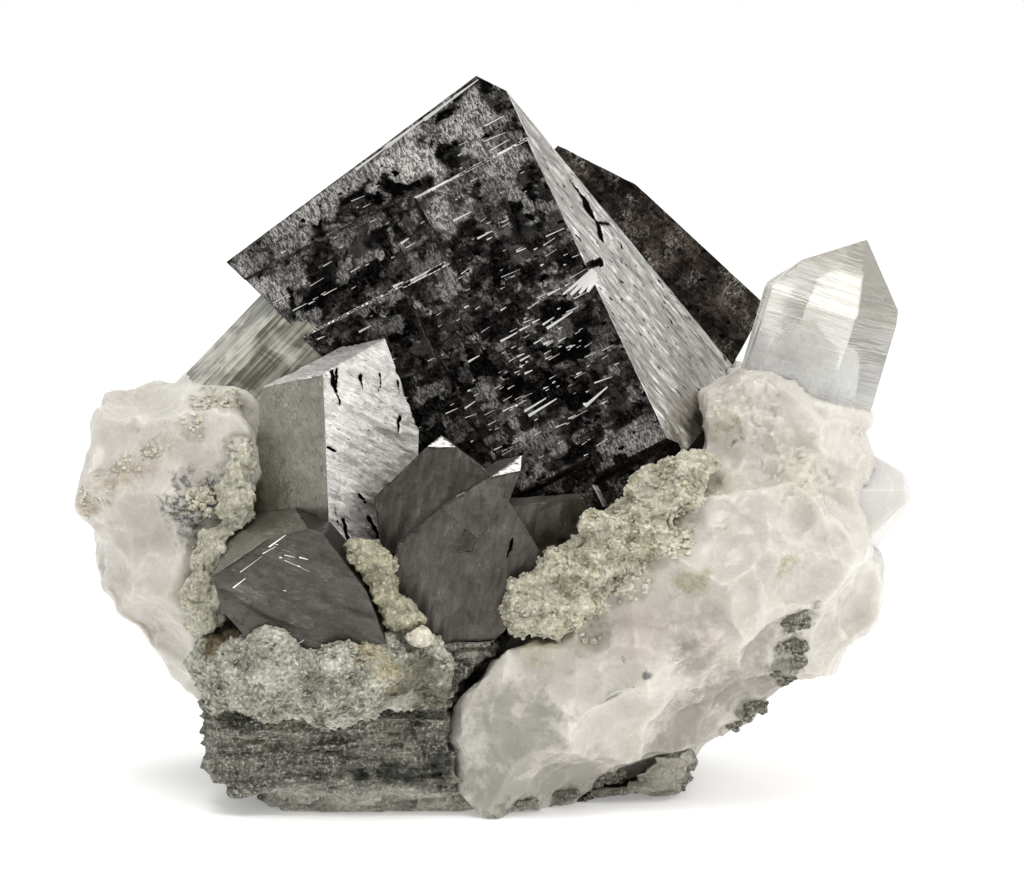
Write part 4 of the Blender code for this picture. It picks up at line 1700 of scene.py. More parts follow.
@dataclass
class Ledges:
    """Bright slivers of fresh growth steps, which run along the growth lines of one crystal face."""

    name: str
    slot: str
    look: FaceLook
    origin: Triple
    long: tuple[Ledge, ...]
    clouds: tuple[LedgeCloud, ...]
    seed: int
    reach: float = 12.0
    flatness: float = 0.9
    # The width left at a ledge's far end, and the least and the mean more of a cloud's lengths and widths
    taper: float = 0.35
    small: tuple[Pair, ...] = ((0.3, 0.6), (0.05, 0.045))
    stray: float = 3.0

    def all_ledges(self) -> list[Ledge]:
        """Lists the named ledges and those of the clouds."""
        rng = np.random.default_rng(self.seed)
        ledges = list(self.long)
        for cloud in self.clouds:
            for _ in range(cloud.count):
                right = rng.normal(cloud.right, cloud.spread_right)
                up = rng.normal(cloud.up, cloud.spread_up)
                length, width = (least + rng.exponential(more) for least, more in self.small)
                ledges.append(Ledge(right, up, length, width, rng.normal(0.0, self.stray)))
        return ledges

    def build(self, host: Piece, finish: Material) -> Piece:
        """Sets each ledge as a four-sided taper, half sunk in the face.

        Args:
            host: the crystal, already finished.
            finish: the ledges' material.

        Returns:
            The finished piece.
        """
        out = direction(self.look.azimuth, self.look.elevation)
        along = Matrix.Rotation(math.radians(self.look.slope), 3, out) @ level_in(out)
        across = out.cross(along)
        bm = bmesh.new()
        for ledge in self.all_ledges():
            way = Matrix.Rotation(math.radians(ledge.turn), 3, out) @ along
            middle = Vector(self.origin) + along * ledge.right + across * ledge.up + way * (ledge.length / 2)
            start = middle + out * self.reach
            hit, place, normal, _ = host.ray_cast(start * MM, -out, distance=2.0 * self.reach * MM)
            if not hit or normal.dot(out) < 0.9:
                continue
            tips = [start + way * (side * ledge.length * 0.5) for side in (-1.0, 1.0)]
            met = [host.ray_cast(tip * MM, -out, distance=2.0 * self.reach * MM) for tip in tips]
            if not all(found[0] and (found[1] - place).length < ledge.length * MM for found in met):
                log.info("%s: a ledge of %.1f mm passes the face's edge", self.name, ledge.length)
                continue
            turned = Matrix((out.cross(way), out, way)).transposed().to_4x4()
            flat = Matrix.Diagonal((1.0, self.flatness, 1.0, 1.0))
            spin = flat @ Matrix.Rotation(math.radians(45.0), 4, "Z")
            bmesh.ops.create_cone(
                bm, cap_ends=True, segments=4, radius1=ledge.width, radius2=ledge.width * self.taper,
                depth=ledge.length, matrix=Matrix.Translation(place / MM) @ turned @ spin
            )
        piece = new_piece(self.name, bm)
        move_points(piece.data, keep_inside(points_of(piece.data)))
        piece.data.materials.append(finish)
        finish_piece(piece, self.slot)
        return piece


# Studio


@dataclass
class Studio:
    """A pale floor, soft lights and the camera."""

    floor_reach: float = 900.0
    floor_colour: str = "#fbfbfa"
    floor_glow: float = 0.25

    def build_camera(self) -> None:
        """Places the camera where the photograph was taken from."""
        data = bpy.data.cameras.new("camera")
        data.sensor_width = SENSOR_WIDTH
        data.lens = SENSOR_WIDTH * CAMERA_DISTANCE / (PICTURE_WIDTH * PIXEL)
        data.clip_start = 0.01
        camera = bpy.data.objects.new("camera", data)
        bpy.context.scene.collection.objects.link(camera)
        away = direction(0.0, CAMERA_RISE)
        camera.location = (CAMERA_TARGET + away * CAMERA_DISTANCE) * MM
        camera.rotation_euler = (-away).to_track_quat("-Z", "Y").to_euler()
        bpy.context.scene.camera = camera

    def build_floor(self) -> None:
        """Lays a wide round floor under the specimen."""
        bm = bmesh.new()
        bmesh.ops.create_circle(bm, cap_ends=True, segments=96, radius=self.floor_reach)
        floor = new_piece("floor", bm)
        material, tree, shader = new_material("painted_paper_floor")
        place = add_node(tree, "TexCoord", {}, "Object")
        fibre = add_node(tree, "TexNoise", {"Vector": place, "Scale": 900.0})
        bump = add_node(tree, "Bump", {"Height": fibre, "Strength": 0.1, "Distance": 0.05 * MM})
        look = {"Base Color": linear(self.floor_colour), "Roughness": 0.9, "Normal": bump}
        fill(tree, shader, {**look, "Emission Color": WHITE, "Emission Strength": self.floor_glow})
        floor.data.materials.append(material)

    def build_light(
        self, name: str, azimuth: float, elevation: float, distance: float, size: float, power: float
    ) -> None:
        """Hangs one soft square light that faces the specimen.

        Args:
            name: the light's name.
            azimuth: where it hangs, in degrees, 0 in front.
            elevation: how high, in degrees.
            distance: how far, in millimetres.
            size: its side, in millimetres.
            power: watts.
        """
        data = bpy.data.lights.new(name, "AREA")
        data.size = size * MM
        data.energy = power
        lamp = bpy.data.objects.new(name, data)
        bpy.context.scene.collection.objects.link(lamp)
        away = direction(azimuth, elevation)
        lamp.location = (CAMERA_TARGET + away * distance) * MM
        lamp.rotation_euler = (-away).to_track_quat("-Z", "Y").to_euler()

    def build_world(self) -> None:
        """Makes a white room that is darker in front, so that the dark faces stay dark."""
        world = bpy.data.worlds.new("studio")
        world.use_nodes = True
        bpy.context.scene.world = world
        tree = world.node_tree
        place = add_node(tree, "TexCoord", {}, "Generated")
        parts = add_node(tree, "SeparateXYZ", {0: place}).node.outputs
        whole = add_node(tree, "MapRange", {0: parts["Y"], 1: -0.9, 2: 0.2, 3: 0.1, 4: 0.85})
        right = add_node(tree, "MapRange", {0: parts["X"], 1: 0.3, 2: 0.85, 3: 0.0, 4: 1.15})
        up = add_node(tree, "MapRange", {0: parts["Z"], 1: 0.3, 2: 0.8, 3: 0.0, 4: 0.9})
        for wall in (right, up):
            whole = add_node(tree, "Math", {0: whole, 1: wall}, operation="MAXIMUM")
        # The room is lighter through the clear quartz, and white to the camera
        path = add_node(tree, "LightPath", {}).node.outputs
        veiled = add_node(tree, "MapRange", {0: whole, 1: 0.1, 2: 0.95, 3: 0.62, 4: 0.94})
        for ray, seen in (("Is Transmission Ray", veiled), ("Is Camera Ray", 1.0)):
            whole = add_node(tree, "Mix", {0: path[ray], 2: whole, 3: seen}, data_type="FLOAT")
        fill(tree, tree.nodes["Background"], {"Strength": whole, "Color": WHITE})

    def build(self) -> None:
        """Builds the whole studio."""
        self.build_camera()
        self.build_floor()
        self.build_world()
        self.build_light("top_light", -25.0, 66.0, 500.0, 260.0, 1.2)
        self.build_light("right_light", 70.0, 30.0, 500.0, 220.0, 0.55)
        bpy.context.scene.view_settings.view_transform = "Standard"


# The specimen's crystals, each with its faces' looks and its cracks

LARGE_CRYSTAL = LargeCrystal(
    "large_arsenopyrite", "etched_arsenopyrite",
    (
        FaceLook(-5.0, 6.0, Metal.ETCHED, Relief.PLATES, slope=28.0, cell=0.27, depth=0.1),
        FaceLook(-32.0, 54.0, Metal.LEDGE, Relief.PLAIN, slope=0.0, cell=0.4),
        FaceLook(62.0, 26.0, Metal.BRIGHT, Relief.LINES, slope=-55.0, cell=0.27, depth=0.2),
        FaceLook(-107.7, 52.0, Metal.BRIGHT, Relief.LINES, slope=20.0, cell=0.6, depth=0.1),
        FaceLook(-106.1, -46.2, Metal.DARK, Relief.PLATES, cell=0.9),
        FaceLook(80.0, -76.0, Metal.DARK, Relief.PLATES, cell=0.9),
        FaceLook(90.3, -53.4, Metal.DARK, Relief.PLATES, cell=0.9),
        FaceLook(149.6, 38.4, Metal.STRIATED, Relief.LINES, slope=35.0, cell=0.5, depth=0.16),
        FaceLook(175.0, -6.0, Metal.ETCHED, Relief.PLATES, slope=-28.0, cell=0.6)
    ),
    origin=(-1.611, -6.076, 86.8), seed=1,
    cracks=(
        Crack(((9.2, -2.8, 74.0), (10.7, -2.2, 71.5), (12.2, -2.3, 68.9)), 0.2),
        Crack(((10.7, -2.2, 71.5), (12.2, -2.3, 68.9), (12.9, -3.1, 66.8)), 0.34),
        Crack(((12.2, -2.3, 68.9), (13.8, 0.1, 68.3)), 0.24, 0.6),
        Crack(((12.5, -6.3, 64.5), (9.4, -12.3, 64.2)), 0.4, 0.4),
        Crack(((14.6, -1.3, 64.6), (15.6, -0.9, 63.2)), 0.28),
        Crack(((16.2, -1.6, 61.4), (16.9, -1.4, 60.4)), 0.26)
    )
)
REAR_CRYSTAL = Crystal(
    "rear_arsenopyrite", "etched_arsenopyrite",
    (
        FaceLook(8.0, 8.0, Metal.DARK, Relief.PLATES, slope=-40.0, cell=0.35),
        FaceLook(112.0, 62.0, Metal.STRIATED, Relief.LINES, slope=-30.0, cell=0.5, depth=0.16),
        FaceLook(112.0, 45.0, Metal.STRIATED, Relief.LINES, slope=-30.0, cell=0.5, depth=0.16),
        FaceLook(-172.0, -4.0, Metal.DARK, Relief.PLATES, slope=30.0, cell=0.6),
        FaceLook(0.0, -60.0, Metal.DARK, Relief.PLATES, cell=0.9)
    ),
    origin=(17.8, 19.0, 58.3), seed=2
)
BLOCKY_CRYSTAL = Crystal(
    "blocky_arsenopyrite", "bright_arsenopyrite",
    (
        FaceLook(-29.0, 2.0, Metal.GREY, Relief.PLATES, slope=-84.0, cell=0.25, depth=0.05),
        FaceLook(36.0, 4.0, Metal.SILVER, Relief.LINES, slope=-30.0, cell=0.22, depth=0.24),
        FaceLook(-68.0, 68.0, Metal.SILVER, Relief.LINES, slope=10.0, cell=0.4),
        FaceLook(0.0, -60.0, Metal.DARK, Relief.PLAIN, cell=0.8),
        FaceLook(180.0, 10.0, Metal.DARK, Relief.PLAIN, cell=0.8)
    ),
    origin=(-18.9, -8.0, 42.0), seed=3, wear=0.3,
    cracks=(
        Crack(((-19.2, -16.9, 52.9), (-18.2, -16.5, 48.6)), 0.3, 0.7),
        Crack(((-18.5, -16.4, 52.9), (-18.6, -16.6, 50.2)), 0.2, 0.7),
        Crack(((-15.9, -14.4, 51.8), (-15.7, -14.4, 50.0)), 0.2, 0.7),
        Crack(((-13.8, -12.8, 51.8), (-13.6, -12.9, 49.8)), 0.18, 0.7),
        Crack(((-11.7, -11.4, 50.8), (-11.5, -11.4, 49.3)), 0.17, 0.7),
        Crack(((-11.3, -11.5, 46.5), (-11.7, -11.9, 44.6)), 0.22, 0.6),
        Crack(((-19.7, -17.9, 43.8), (-19.0, -17.3, 43.3)), 0.14),
        Crack(((-17.7, -17.2, 35.0), (-17.2, -17.0, 32.0)), 0.2),
        Crack(((-15.0, -15.2, 35.0), (-13.9, -14.4, 32.5)), 0.2),
        Crack(((-18.8, -18.1, 36.6), (-18.4, -17.9, 34.9)), 0.14),
        Crack(((-16.2, -15.9, 37.9), (-15.4, -15.3, 36.8)), 0.12)
    )
)
LENS_CRYSTAL = Crystal(
    "lens_arsenopyrite", "grey_arsenopyrite",
    (
        FaceLook(-8.0, -6.0, Metal.SLATE, Relief.CURVED, slope=-14.0, cell=0.24, depth=0.12),
        FaceLook(-63.0, 48.0, Metal.GREY, Relief.LINES, slope=20.0, cell=0.3),
        FaceLook(80.0, 60.0, Metal.SLATE, Relief.PLAIN, cell=0.5),
        FaceLook(0.0, -80.0, Metal.SLATE, Relief.PLAIN, cell=0.6)
    ),
    origin=(-22.4, -17.0, 28.5), seed=4, wear=0.15
)
RHOMBIC_CRYSTAL = Crystal(
    "rhombic_arsenopyrite", "grey_arsenopyrite",
    (
        FaceLook(0.0, -2.0, Metal.SLATE, Relief.LINES, slope=80.0, cell=0.22, depth=0.05),
        FaceLook(-5.0, 47.0, Metal.BRIGHT, Relief.PLAIN, cell=0.3),
        FaceLook(-89.0, 60.0, Metal.GREY, Relief.LINES, cell=0.4),
        FaceLook(100.0, 45.0, Metal.GREY, Relief.LINES, cell=0.4),
        FaceLook(0.0, -70.0, Metal.DARK, Relief.PLAIN, cell=0.6),
        FaceLook(180.0, 0.0, Metal.DARK, Relief.PLAIN, cell=0.8)
    ),
    origin=(-3.9, -13.0, 30.0), seed=5, wear=0.15,
    cracks=(
        Crack(((0.6, -19.5, 37.4), (2.4, -19.0, 34.2), (1.4, -19.3, 30.6)), 0.12),
        Crack(((-9.4, -20.1, 27.0), (-5.0, -20.5, 25.6), (-2.0, -20.4, 26.8)), 0.12)
    )
)

# Regions of the quartz, by what the eye sees there
MICA_BLOTCHES = Zone(
    "#a8a485",
    (
        Spot((22.4, -21.6, 28.0), 1.4), Spot((24.0, -21.3, 28.3), 1.2), Spot((26.5, -20.0, 34.9), 1.1),
        Spot((34.7, -21.5, 30.4), 1.4), Spot((12.3, -21.7, 23.8), 1.5)
    ),
    ragged=2.4, grainy=0.5
)
SUGARY_BORDER = Zone(
    "#c8c3ab",
    (
        Spot((10.8, -22.5, 24.4), 3.0, 0.8), Spot((15.5, -22.0, 29.0), 3.0, 0.8),
        Spot((20.0, -20.0, 34.0), 3.0, 0.8), Spot((25.0, -14.0, 40.0), 3.5, 0.7),
        Spot((26.8, -9.8, 46.0), 3.0, 0.5), Spot((36.1, -14.4, 40.6), 4.0, 0.4),
        Spot((5.0, -22.4, 20.6), 2.4, 0.8)
    ),
    ragged=1.6
)
SMOKY_HOLLOW = Zone(
    "#98928a",
    (
        Spot((24.1, -22.4, 19.2), 2.6, 0.8), Spot((27.9, -14.8, 14.2), 5.0, 0.9),
        Spot((23.2, -14.2, 10.5), 5.0, 0.8), Spot((31.6, -11.7, 13.6), 4.0, 0.8),
        Spot((31.0, -18.0, 20.0), 3.4, 0.8)
    ),
    ragged=1.5
)
GREY_FOOT = Zone(
    "#a09d93",
    (
        Spot((2.9, -23.3, 9.8), 5.5, 0.85), Spot((7.7, -18.1, 4.0), 5.5, 0.85),
        Spot((0.6, -21.6, 3.4), 4.5, 0.85), Spot((17.3, -13.1, 5.4), 5.0, 0.7)
    ),
    ragged=1.6
)
SCHIST_BITS = Zone(
    "#77756a",
    (
        Spot((36.1, -17.0, 21.8), 1.9), Spot((35.8, -15.8, 20.2), 1.8), Spot((35.4, -14.4, 18.6), 1.8),
        Spot((34.9, -13.2, 17.2), 1.8), Spot((34.4, -12.4, 16.0), 1.8), Spot((30.6, -8.0, 9.3), 2.2),
        Spot((7.7, -14.2, 0.4), 2.0), Spot((3.5, -18.4, 0.4), 1.6), Spot((0.0, -20.4, 0.8), 1.6),
        Spot((14.0, -11.5, 2.4), 2.0, 0.8)
    ),
    ragged=2.8, grainy=0.7, speck=0.8
)
GREY_SPECKS = Zone("#7b7976", (Spot((15.1, -23.4, 19.2), 0.4), Spot((17.6, -24.1, 17.5), 0.5)), ragged=4.0)
PINK_BLUSH = Zone("#c2b8b3", (Spot((17.0, -22.2, 23.9), 4.5, 0.6), Spot((22.9, -23.4, 21.7), 4.0, 0.6)))
WHITE_DOME = Zone(
    "#d9d5cd", (Spot((8.0, -24.4, 13.0), 4.5, 0.7), Spot((12.0, -24.0, 16.0), 3.6, 0.7)), ragged=1.6
)
DARK_INCLUSION = Zone(
    "#454544",
    (
        Spot((-36.6, -16.3, 39.7), 1.9, 0.8), Spot((-37.5, -16.0, 36.1), 2.2, 0.95),
        Spot((-35.6, -14.9, 34.8), 1.9, 0.95), Spot((-33.6, -15.6, 37.6), 2.6, 0.95),
        Spot((-32.4, -15.7, 40.4), 1.2, 0.7)
    ),
    ragged=2.2, grainy=0.75, speck=0.7
)
TAN_BAND = Zone(
    "#bcb099",
    (
        Spot((-48.3, -10.5, 36.4), 1.8, 0.9), Spot((-46.4, -12.1, 37.9), 1.8, 0.9),
        Spot((-43.9, -13.6, 40.5), 1.9, 0.8), Spot((-41.5, -14.1, 42.4), 1.9, 0.8),
        Spot((-39.1, -14.7, 44.2), 1.8, 0.7)
    ),
    ragged=1.9, grainy=0.6
)
GREEN_SHOULDER = Zone(
    "#a09d84",
    (
        Spot((-33.9, -11.0, 49.1), 2.4, 0.8), Spot((-31.5, -11.5, 48.6), 2.4, 0.8),
        Spot((-36.1, -15.1, 46.1), 1.8, 0.7), Spot((-30.5, -14.0, 43.0), 1.8, 0.7),
        Spot((-31.0, -16.5, 36.5), 2.2, 0.7), Spot((-33.5, -15.0, 31.0), 2.4, 0.7)
    ),
    ragged=2.0, grainy=0.6, speck=0.9
)
CAVITY = Zone(
    "#8f8266",
    (Spot((-34.7, -21.1, 23.7), 1.4), Spot((-33.1, -19.9, 20.4), 1.6), Spot((-31.3, -19.2, 21.6), 1.8))
)

# Warm white, with pink, smoky, sandy and olive regions
RIGHT_MILKY = MilkyQuartz(
    "milky_quartz_with_mica",
    zones=(
        PINK_BLUSH, WHITE_DOME, GREY_FOOT, SMOKY_HOLLOW, SUGARY_BORDER, MICA_BLOTCHES, SCHIST_BITS,
        GREY_SPECKS
    )
)
# The same white, with a dark inclusion, a tan band and a greenish shoulder
LEFT_MILKY = MilkyQuartz("milky_quartz_with_inclusions", zones=(GREEN_SHOULDER, TAN_BAND, DARK_INCLUSION))
# Cool white and glassier
PALE_MILKY = MilkyQuartz(
    "pale_milky_quartz", white="#d8d5d0", pink="#cdcac6", green="#cac8bf", roughness=0.14
)
# The whitest, as a cloud inside clear crystal: painted lighter than the other milky quartz, which stands in
# for the light that the clear crystal around it keeps out
VEIL = MilkyQuartz("veiled_quartz", white="#f6f5f2", pink="#eeedea", green="#e9e8e2", thread="#ffffff")
# Water-clear with a warm tint, frosted at the foot
CLEAR = ClearQuartz("clear_quartz", tint="#dad7cd")
# Glassy olive-grey with white streaks
STREAKED = StreakedQuartz("streaked_quartz", dark="#6a695b", light="#d4d2c6")
# Dark grey layers with pale mica grains
SCHIST = Mineral(
    "mica_schist", "#3f3e38", "#999789", "#d3d1c7", grain=0.4, drift=4.0, roughness=0.7, bump=0.35,
    layer=0.8, layer_tilt=-2.0,
    zones=(
        Zone(
            "#cbc8bd",
            (
                Spot((-24.0, -19.0, 0.8), 3.4), Spot((-19.0, -19.0, 0.8), 3.4),
                Spot((-14.0, -19.0, 0.8), 3.4), Spot((-9.0, -19.0, 0.8), 3.4),
                Spot((-4.0, -17.0, 0.8), 3.4)
            ),
            ragged=0.6, grainy=0.4, speck=0.6
        ),
        # The dark layer over it
        Zone(
            "#2e2d28",
            (
                Spot((-16.0, -21.0, 5.2), 1.4), Spot((-12.6, -21.0, 5.5), 1.6),
                Spot((-9.4, -21.0, 5.6), 1.6), Spot((-6.0, -21.0, 5.8), 1.6),
                Spot((-2.0, -21.0, 7.4), 1.6)
            ),
            ragged=1.4, grainy=0.5, speck=0.9
        ),
        # The foot of the quartz, which grew over the schist's right end
        Zone(
            "#bcb8aa",
            (
                Spot((17.3, -12.5, 4.4), 3.4, 0.85), Spot((21.5, -12.6, 4.1), 3.4, 0.85),
                Spot((20.0, -11.0, 7.0), 3.4)
            ),
            ragged=1.2
        ),
        CAVITY
    )
)
# Sugary pale khaki grains that glint
MUSCOVITE = Mineral(
    "muscovite_crust", "#aba58c", "#cac5b0", "#ebe7da", grain=0.42, drift=3.0, roughness=0.5, bump=0.2,
    glint=0.3, glow=0.7
)
# Paler, drier sugar grains
SUGAR = Mineral(
    "sugary_quartz", "#cbc6b0", "#dad6c5", "#efece2", grain=0.4, drift=3.0, roughness=0.5, bump=0.15,
    glint=0.3
)
# Pale khaki, greyer in the hollows
SEAM = Mineral(
    "muscovite_seam", "#aaa791", "#c4c1b2", "#dcd9cd", grain=0.4, drift=3.0, roughness=0.5, bump=0.2,
    glint=0.3, glow=0.7
)
# Olive grains
OLIVE_MICA = Mineral(
    "muscovite_cluster", "#85816a", "#b0ab8f", "#dedac4", grain=0.4, drift=2.0, roughness=0.5, bump=0.2,
    glint=0.3
)
# Grey-white sparkling grains with brown hollows
GREY_MUSCOVITE = Mineral(
    "grey_muscovite_crust", "#8d8b7a", "#c3c1b1", "#f0eee5", grain=0.42, drift=2.6, roughness=0.55,
    bump=0.3, glint=0.3, glow=0.3,
    zones=(
        Zone(
            "#6f6c56",
            (
                Spot((-8.8, -24.7, 17.2), 2.8, 0.8), Spot((-7.6, -23.6, 14.6), 3.0, 0.8),
                Spot((-11.1, -25.5, 16.0), 2.0, 0.6)
            ),
            ragged=1.4
        ),
        Zone(
            "#b7ab88", (Spot((-14.6, -26.1, 21.0), 1.6, 0.8), Spot((-12.9, -26.9, 18.2), 1.6, 0.8)),
            ragged=1.4
        ),
        CAVITY
    )
)
# Smooth waxy cream
CREAM = Mineral(
    "cream_mineral", "#b9b29a", "#d9d4c2", "#f2efe4", grain=0.5, drift=1.6, roughness=0.4, bump=0.06
)

CLEAR_POINT = Point(
    "clear_quartz_point", centre=(39.5, 2.5, 57.0), lean=(0.0, 16.0), turn=-24.0,
    sides=(5.4, 7.8, 8.2, 7.0, 6.2, 7.3), tips=(5.5, 7.6, 8.85, 8.0, 6.0, 7.4), foot=-16.0, end=30.0
)
CLEAR_CLOUD = Cloud("clear_point_cloud", CLEAR_POINT, width=4.7, bottom=-15.5, top=-0.5, seed=29)
SIDE_POINT = Point(
    "side_quartz_point", centre=(41.5, 3.0, 35.2), lean=(8.0, 80.0), turn=12.0,
    sides=(6.9, 6.4, 6.6, 6.8, 6.4, 6.6), tips=(7.6, 7.0, 7.4, 7.6, 6.8, 7.2), foot=-10.0, end=8.8
)
LEFT_POINT = Point(
    "left_quartz_point", centre=(-26.0, 4.5, 51.0), lean=(-4.0, 44.0), turn=-12.0,
    sides=(6.6, 6.8, 6.5, 6.7, 6.8, 6.5), tips=(9.5, 9.3, 9.6, 9.4, 9.5, 9.2), foot=-14.0, end=30.0
)

QUARTZ_SWELLS = (
    Swell(Bump.HOLLOWS, 9.5, 2.6), Swell(Bump.HOLLOWS, 4.2, 0.7), Swell(Bump.SWELLS, 7.0, 0.3),
    Swell(Bump.FACETS, 1.6, 0.4), Swell(Bump.FACETS, 0.7, 0.25)
)
CRUST_BORDER = SUGARY_BORDER.spots[:3]
RIGHT_ROUGH = (*SUGARY_BORDER.spots, Spot((29.1, -9.9, 48.4), 5.0), Spot((36.1, -14.4, 40.6), 5.0, 0.8))
LEFT_ROUGH = (*TAN_BAND.spots, *GREEN_SHOULDER.spots)
RIGHT_MASS = Mass(
    "right_quartz", "milky_quartz", "right_milky_mass", voxel=0.42, swells=QUARTZ_SWELLS, seed=3,
    points=(CLEAR_POINT, SIDE_POINT), rough=RIGHT_ROUGH, rough_floor=0.15
)
LEFT_MASS = Mass(
    "left_quartz", "milky_quartz", "left_milky_mass", voxel=0.42, swells=QUARTZ_SWELLS, seed=5,
    points=(LEFT_POINT,), root=6.0, rough=LEFT_ROUGH, rough_floor=0.15
)
SCHIST_MASS = Mass(
    "schist_base", "schist", "schist_slab", voxel=0.45,
    swells=(Swell(Bump.HOLLOWS, 3.6, 1.3), Swell(Bump.FACETS, 1.8, 1.2), Swell(Bump.GRAINS, 0.9, 0.3)),
    seed=7, squeeze=(0.35, 0.35, 1.4)
)
MICA_SWELLS = (Swell(Bump.SWELLS, 2.6, 0.5), Swell(Bump.FACETS, 1.0, 0.4), Swell(Bump.GRAINS, 0.6, 0.3))
CAP_MASS = Mass(
    "mica_cap", "muscovite", "mica_cap_crust", voxel=0.22,
    swells=(Swell(Bump.SWELLS, 5.0, 1.0), Swell(Bump.HOLLOWS, 3.0, 0.7), *MICA_SWELLS[1:]), seed=11
)
CRUST_SWELLS = (
    Swell(Bump.SWELLS, 4.0, 1.3), Swell(Bump.HOLLOWS, 2.0, 0.7), Swell(Bump.FACETS, 1.0, 0.4),
    Swell(Bump.GRAINS, 0.6, 0.3)
)
RIGHT_CRUST = Mass(
    "mica_crust_right", "muscovite", "mica_right_crust", voxel=0.22, swells=CRUST_SWELLS, seed=13
)
LEFT_CRUST = Mass(
    "mica_crust_left", "muscovite", "mica_left_crust", voxel=0.2, swells=MICA_SWELLS, seed=17
)
CLUSTER = Mass("mica_cluster", "muscovite", "mica_cluster_crust", voxel=0.18, swells=MICA_SWELLS, seed=19)
CREAM_MASS = Mass(
    "cream_grain", "cream_mineral", "cream_bead", voxel=0.12, swells=(Swell(Bump.SWELLS, 1.2, 0.08),),
    seed=23
)
BORDER_FLAKES = Crumbs(
    "border_flakes", "muscovite", count=190, size=(0.4, 1.0), seed=41, spots=CRUST_BORDER,
    thickness=0.3, tumble=0.3
)
LEFT_FLAKES = Crumbs(
    "left_flakes", "muscovite", count=200, size=(0.3, 0.7), seed=43, spots=LEFT_ROUGH, thickness=0.3,
    tumble=0.3
)
INCLUSION_CRUMBS = Crumbs(
    "inclusion_crumbs", "milky_quartz", count=44, size=(0.5, 1.2), seed=47,
    spots=(Spot((-34.8, -15.4, 37.2), 1.8),)
)
SCHIST_FLAKES = Crumbs(
    "schist_flakes", "schist", count=230, size=(0.5, 1.4), seed=61, spots=SCHIST_BITS.spots,
    thickness=0.35
)
CAP_FLAKES = Crumbs("cap_flakes", "muscovite", count=1500, size=(0.4, 0.9), seed=53, thickness=0.2)
CRUST_FLAKES = Crumbs("crust_flakes", "muscovite", count=900, size=(0.35, 0.75), seed=59, thickness=0.3)

LARGE_LEDGES = Ledges(
    "bright_growth_ledges", "etched_arsenopyrite", LARGE_CRYSTAL.looks[0], LARGE_CRYSTAL.origin,
    long=(
        # The two wide dashes, the double dash and the dashed line
        Ledge(-7.0, -30.3, 3.7, 0.26, 6.0), Ledge(-13.7, -38.5, 3.9, 0.26, 4.0),
        Ledge(-13.9, -37.8, 3.4, 0.2, 4.0), Ledge(-7.2, -40.6, 3.7, 0.28, 14.0),
        Ledge(-12.6, -29.1, 2.2, 0.2), Ledge(-10.0, -29.0, 1.4, 0.18), Ledge(-8.2, -28.9, 1.0, 0.16),
        # The ragged wing beside the notch
        Ledge(1.1, -26.7, 4.6, 0.4, 191.0), Ledge(1.2, -26.9, 4.0, 0.6, 197.0),
        Ledge(1.1, -27.2, 3.0, 0.6, 204.0), Ledge(1.0, -27.6, 2.0, 0.6, 212.0),
        # The corner of the plate under the long ledge
        Ledge(-20.5, -18.1, 3.0, 0.14, 9.5), Ledge(-9.4, -17.0, 2.0, 0.18),
        Ledge(-11.0, -13.8, 2.4, 0.18), Ledge(-2.5, -5.5, 2.6, 0.16),
        # The worn top left edge
        Ledge(-18.6, -3.0, 5.6, 0.2, 8.7), Ledge(-14.2, -2.3, 6.2, 0.3, 8.7),
        Ledge(-8.6, -1.5, 5.0, 0.32, 8.7), Ledge(-4.2, -0.8, 3.6, 0.22, 8.7)
    ),
    clouds=(
        LedgeCloud(-13.0, -37.0, 7.5, 5.5, 120), LedgeCloud(-10.0, -24.0, 8.0, 5.0, 60),
        LedgeCloud(-8.0, -8.0, 6.0, 5.0, 24), LedgeCloud(-26.0, -12.0, 7.0, 4.0, 36)
    ),
    seed=31
)
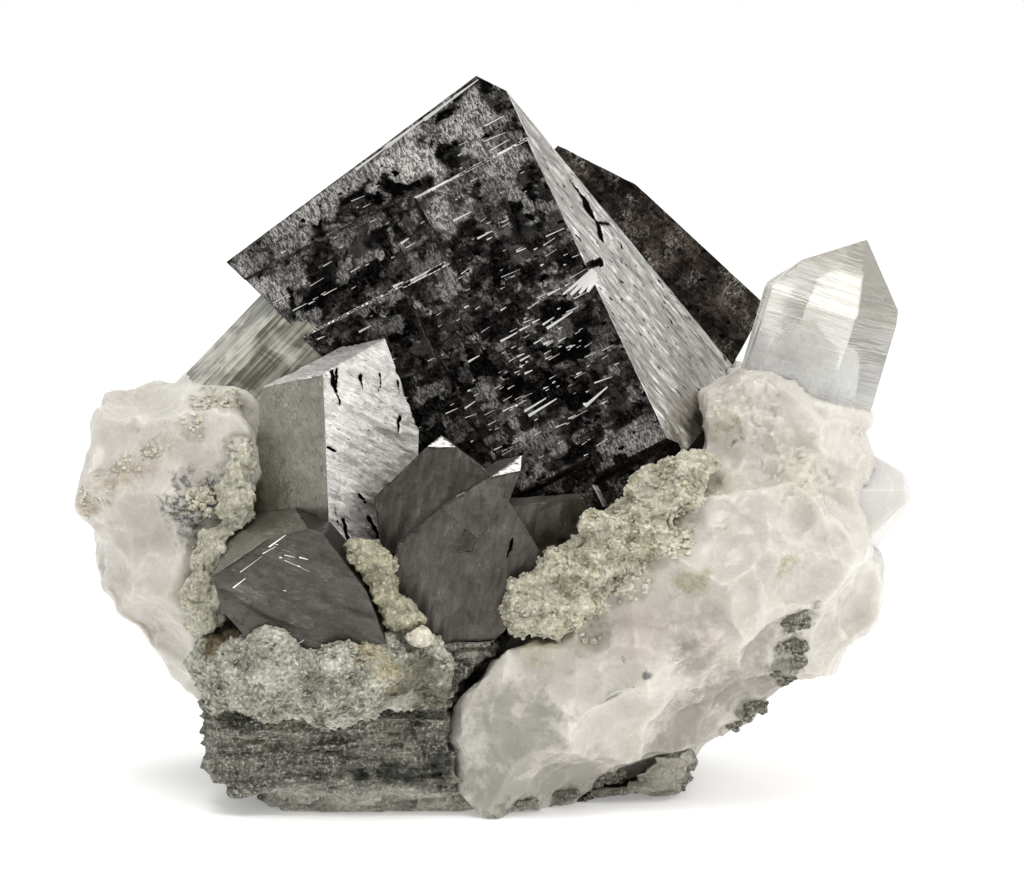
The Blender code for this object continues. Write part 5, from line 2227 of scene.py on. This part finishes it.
LENS_SCRATCHES = Ledges(
    "lens_scratches", "grey_arsenopyrite", LENS_CRYSTAL.looks[0], LENS_CRYSTAL.origin,
    long=(
        Ledge(-7.1, -1.4, 2.2, 0.12, 52.9), Ledge(-4.2, 4.4, 2.7, 0.14, 50.7),
        Ledge(-4.6, 3.6, 1.8, 0.07, 44.0), Ledge(1.6, -6.2, 1.2, 0.1, 47.2),
        Ledge(-6.7, 0.7, 3.3, 0.05, 50.9), Ledge(-1.9, 3.5, 3.2, 0.04, -10.0)
    ),
    clouds=(LedgeCloud(-2.5, 4.0, 2.4, 1.6, 8),), seed=37
)


def main() -> None:
    """Builds the specimen's pieces in order, then the studio."""
    logging.basicConfig(level=logging.INFO, format="%(name)s %(message)s")
    for metal in Metal:
        MATERIALS[metal] = metal.value.make()
    large = LARGE_CRYSTAL.build()
    LARGE_LEDGES.build(large, MATERIALS[Metal.FRESH])
    REAR_CRYSTAL.build()
    BLOCKY_CRYSTAL.build()
    LENS_SCRATCHES.build(LENS_CRYSTAL.build(), MATERIALS[Metal.FRESH])
    RHOMBIC_CRYSTAL.build()
    clear = CLEAR.make()
    CLEAR_POINT.build(clear, "milky_quartz")
    pale = PALE_MILKY.make()
    CLEAR_CLOUD.build(VEIL.make(), "milky_quartz")
    SIDE_POINT.build(pale, "milky_quartz")
    LEFT_POINT.build(STREAKED.make(), "milky_quartz")
    right = RIGHT_MILKY.make()
    left = LEFT_MILKY.make()
    schist = SCHIST.make()
    mica = MUSCOVITE.make()
    grey_mica = GREY_MUSCOVITE.make()
    cream = CREAM.make()
    right_mass = RIGHT_MASS.build(right)
    left_mass = LEFT_MASS.build(left)
    SCHIST_MASS.build(schist)
    cap = CAP_MASS.build(grey_mica)
    right_crust = RIGHT_CRUST.build(mica)
    LEFT_CRUST.build(SEAM.make())
    CREAM_MASS.build(cream)
    olive = OLIVE_MICA.make()
    sugar = SUGAR.make()
    CLUSTER.build(olive)
    BORDER_FLAKES.build(right_mass, sugar)
    LEFT_FLAKES.build(left_mass, sugar)
    INCLUSION_CRUMBS.build(left_mass, sugar)
    SCHIST_FLAKES.build(right_mass, schist)
    CAP_FLAKES.build(cap, grey_mica)
    CRUST_FLAKES.build(right_crust, mica)
    finishes = {
        "right_quartz": right, "left_quartz": left, "schist_base": schist, "mica_cap": grey_mica,
        "cream_grain": cream
    }
    for node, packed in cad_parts.items():
        made = MATERIALS[Metal.DARK] if node.endswith("arsenopyrite") else finishes.get(node, mica)
        packed.data.materials.clear()
        packed.data.materials.append(made)
    Studio().build()


if __name__ == "__main__":
    main()
